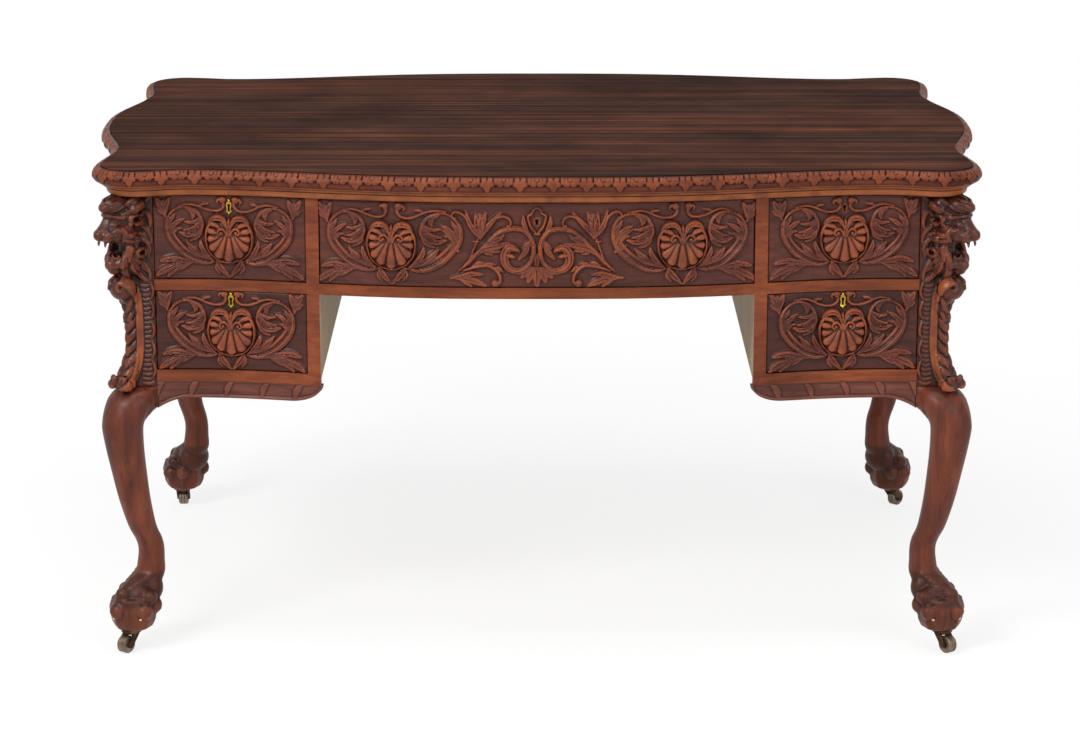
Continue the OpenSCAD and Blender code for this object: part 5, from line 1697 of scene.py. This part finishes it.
class DESK_OT_locks(bpy.types.Operator):
    """Lets a lock into the back of each front, with a plate round each keyhole that has kept one"""
    bl_idname = "desk.locks"
    bl_label = "Locks"

    def execute(self, context):
        make_finishes()
        for side in SIDES:
            for spot in SPOTS:
                drawer = Drawer(side, spot)
                bm = bmesh.new()
                if drawer.name not in BARE:
                    x, z = drawer.middle, drawer.carving_z + drawer.key_up
                    slope = float(face_y(x + 1) - face_y(x - 1)) / 2
                    place = Matrix.Translation((x, -float(face_y(x)) - 0.4, z))
                    facing = Matrix.Rotation(-math.atan(slope), 4, "Z") @ Matrix.Rotation(math.pi / 2, 4, "X")
                    key_plate(bm, place @ facing)
                lock_case(bm, drawer.middle, drawer.back, drawer.top)
                if drawer.turned:
                    bmesh.ops.rotate(bm, verts=bm.verts, matrix=Matrix.Rotation(math.pi, 3, "Z"))
                bmesh.ops.recalc_face_normals(bm, faces=bm.faces)
                name = f"lock_{drawer.name}"
                finish_piece(name, mesh_from(bm, name), f"{drawer.name}_drawer",
                             FINISHES["lock_brass"], [f"{drawer.name}_lock"], 40)
        return {"FINISHED"}


class DESK_OT_edge(bpy.types.Operator):
    """Runs the carved edge and the cornice round the top"""
    bl_idname = "desk.edge"
    bl_label = "Edge and cornice"

    def execute(self, context):
        make_finishes()
        self.run_edge(context.scene.desk_sizes.leaf_pitch / MM)
        self.run_cornice()
        self.close_top()
        return {"FINISHED"}

    def run_edge(self, pitch):
        """The carved edge in four lengths, with painted shade between its leaves, and rubbed on them."""
        profile, down = edge_section(5)
        carving = edge_carving(pitch, down)
        for side, (base, outward) in lengths_of_edge(1.6).items():
            mesh = sweep(f"carved_edge_{side}", base, outward, profile, carving)
            off, z = values_of(mesh, "off"), coords(mesh)[:, 2] / MM
            # hollow and a low raised value bring painted shade into the cuts
            put_value(mesh, "hollow", np.clip(2.0 * hollow_of(mesh, off, 4), -3, 3))
            put_value(mesh, "raised", 2.5 + off)
            put_value(mesh, "rub", 0.6 * smooth((off - 0.5) / 0.8))
            # painted shade in the sunk places between the leaves of the upper band
            sunk = smooth((0.5 - off) / 0.6)
            put_value(mesh, "shade", 0.6 * sunk * smooth((z - 758) / 3) * smooth(774 - z))
            finish_piece(f"carved_edge_{side}", mesh, "desk", FINISHES["edge_wood"],
                         ["carved_edge"], 60)

    def run_cornice(self):
        """The steps of the cornice in four lengths, with painted shade in their quirks, the lower band rubbed
        lighter and the upper band lightened partly as painted light against the edge's shadow.
        """
        for side, (base, outward) in lengths_of_edge(6).items():
            mesh = sweep(f"cornice_{side}", base, outward, CORNICE)
            z = coords(mesh)[:, 2] / MM
            put_value(mesh, "raised", np.full(len(z), 3.0))
            # painted shade: dark lines in the two quirks
            put_value(mesh, "hollow", -1.0 * ((np.abs(z - 742) < 0.5) | (np.abs(z - 747.2) < 0.5)))
            lower = smooth((741.4 - z) / 0.4) * smooth((z - 731.2) / 2)
            # the upper band is lightened partly as painted light, against the shadow the edge casts on it
            upper = smooth((750.6 - z) / 0.5) * smooth((z - 742.6) / 0.5)
            put_value(mesh, "rub", lower + 0.7 * upper)
            finish_piece(f"cornice_{side}", mesh, "desk", FINISHES["cornice_wood"],
                         ["cornice_board"], 35)

    def close_top(self):
        """The board inside the cornice, which closes the carcase under the top."""
        bm = bmesh.new()
        outline, _ = even(full_outline(31), 480)
        face = bm.faces.new([bm.verts.new((x * MM, y * MM, 731.4 * MM)) for x, y in outline])
        lifted = bmesh.ops.extrude_face_region(bm, geom=[face])["geom"]
        bmesh.ops.translate(bm, verts=[v for v in lifted if isinstance(v, bmesh.types.BMVert)],
                            vec=(0, 0, 19.4 * MM))
        bmesh.ops.recalc_face_normals(bm, faces=bm.faces)
        finish_piece("sub_top", mesh_from(bm, "sub_top"), "desk", FINISHES["inner_wood"],
                     ["cornice_board"], 30)


class DESK_OT_aprons(bpy.types.Operator):
    """Carves the gadrooned aprons under the pedestals"""
    bl_idname = "desk.aprons"
    bl_label = "Aprons"

    def execute(self, context):
        make_finishes()
        step = 1.0
        # from the kneehole to the legs at the front and the rear, and from leg to leg at the sides
        for side, hand, start, end in (
            ("front", -1, 332, 587), ("front", 1, -587, -332), ("rear", -1, 332, 587),
            ("rear", 1, -587, -332), ("left", 0, -344, 344), ("right", 0, -344, 344),
        ):
            name = f"apron_{side}" + {-1: "_b", 0: "", 1: "_a"}[hand]
            finish_piece(name, apron(side, hand, start, end, step), "desk",
                         FINISHES["apron_wood"], ["aprons"], 50)
        return {"FINISHED"}


class DESK_OT_posts(bpy.types.Operator):
    """Sculpts the beast's-head corner posts"""
    bl_idname = "desk.posts"
    bl_label = "Corner posts"

    def execute(self, context):
        make_finishes()
        step = context.scene.desk_sizes.sculpt_step / MM * 1
        mesh = beast_post(step)
        sculpted_values(mesh, 1.2)
        at_corners(mesh, "beast_post", "griffin", FINISHES["griffin_wood"])
        return {"FINISHED"}


class DESK_OT_legs(bpy.types.Operator):
    """Sculpts the cabriole legs with their paws"""
    bl_idname = "desk.legs"
    bl_label = "Legs"

    def execute(self, context):
        make_finishes()
        step = context.scene.desk_sizes.paw_step / MM * 1
        mesh = paw_leg(step)
        sculpted_values(mesh, 0.8)
        at_corners(mesh, "paw_leg", "leg", FINISHES["leg_wood"])
        at_corners(nails_on(mesh), "nails", "leg", FINISHES["nail_horn"])
        return {"FINISHED"}


class DESK_PT_panel(bpy.types.Panel):
    """Lists the desk's makers in the sidebar"""
    bl_idname = "DESK_PT_panel"
    bl_label = "Partners Desk"
    bl_space_type = "VIEW_3D"
    bl_region_type = "UI"
    bl_category = "Desk"

    def draw(self, context):
        for group in (context.scene.desk_sizes, context.scene.desk_colours):
            for key in group.__annotations__:
                self.layout.prop(group, key)
        for maker in MAKERS:
            self.layout.operator(maker.bl_idname)


MAKERS = (DESK_OT_stage, DESK_OT_carcase, DESK_OT_drawer_fronts, DESK_OT_locks, DESK_OT_edge, DESK_OT_aprons,
          DESK_OT_posts, DESK_OT_legs)
CLASSES = (DeskSizes, DeskColours) + MAKERS + (DESK_PT_panel,)


def register():
    """Makes the desk's settings, makers and panel known to Blender."""
    for cls in CLASSES:
        bpy.utils.register_class(cls)
    bpy.types.Scene.desk_sizes = bpy.props.PointerProperty(type=DeskSizes)
    bpy.types.Scene.desk_colours = bpy.props.PointerProperty(type=DeskColours)


def unregister():
    """Takes them away again."""
    del bpy.types.Scene.desk_colours
    del bpy.types.Scene.desk_sizes
    for cls in reversed(CLASSES):
        bpy.utils.unregister_class(cls)


def main():
    """Makes the desk and its studio."""
    register()
    bpy.ops.desk.stage()
    bpy.ops.desk.carcase()
    bpy.ops.desk.drawer_fronts()
    bpy.ops.desk.locks()
    bpy.ops.desk.edge()
    bpy.ops.desk.aprons()
    bpy.ops.desk.posts()
    bpy.ops.desk.legs()


if __name__ == "__main__":
    main()
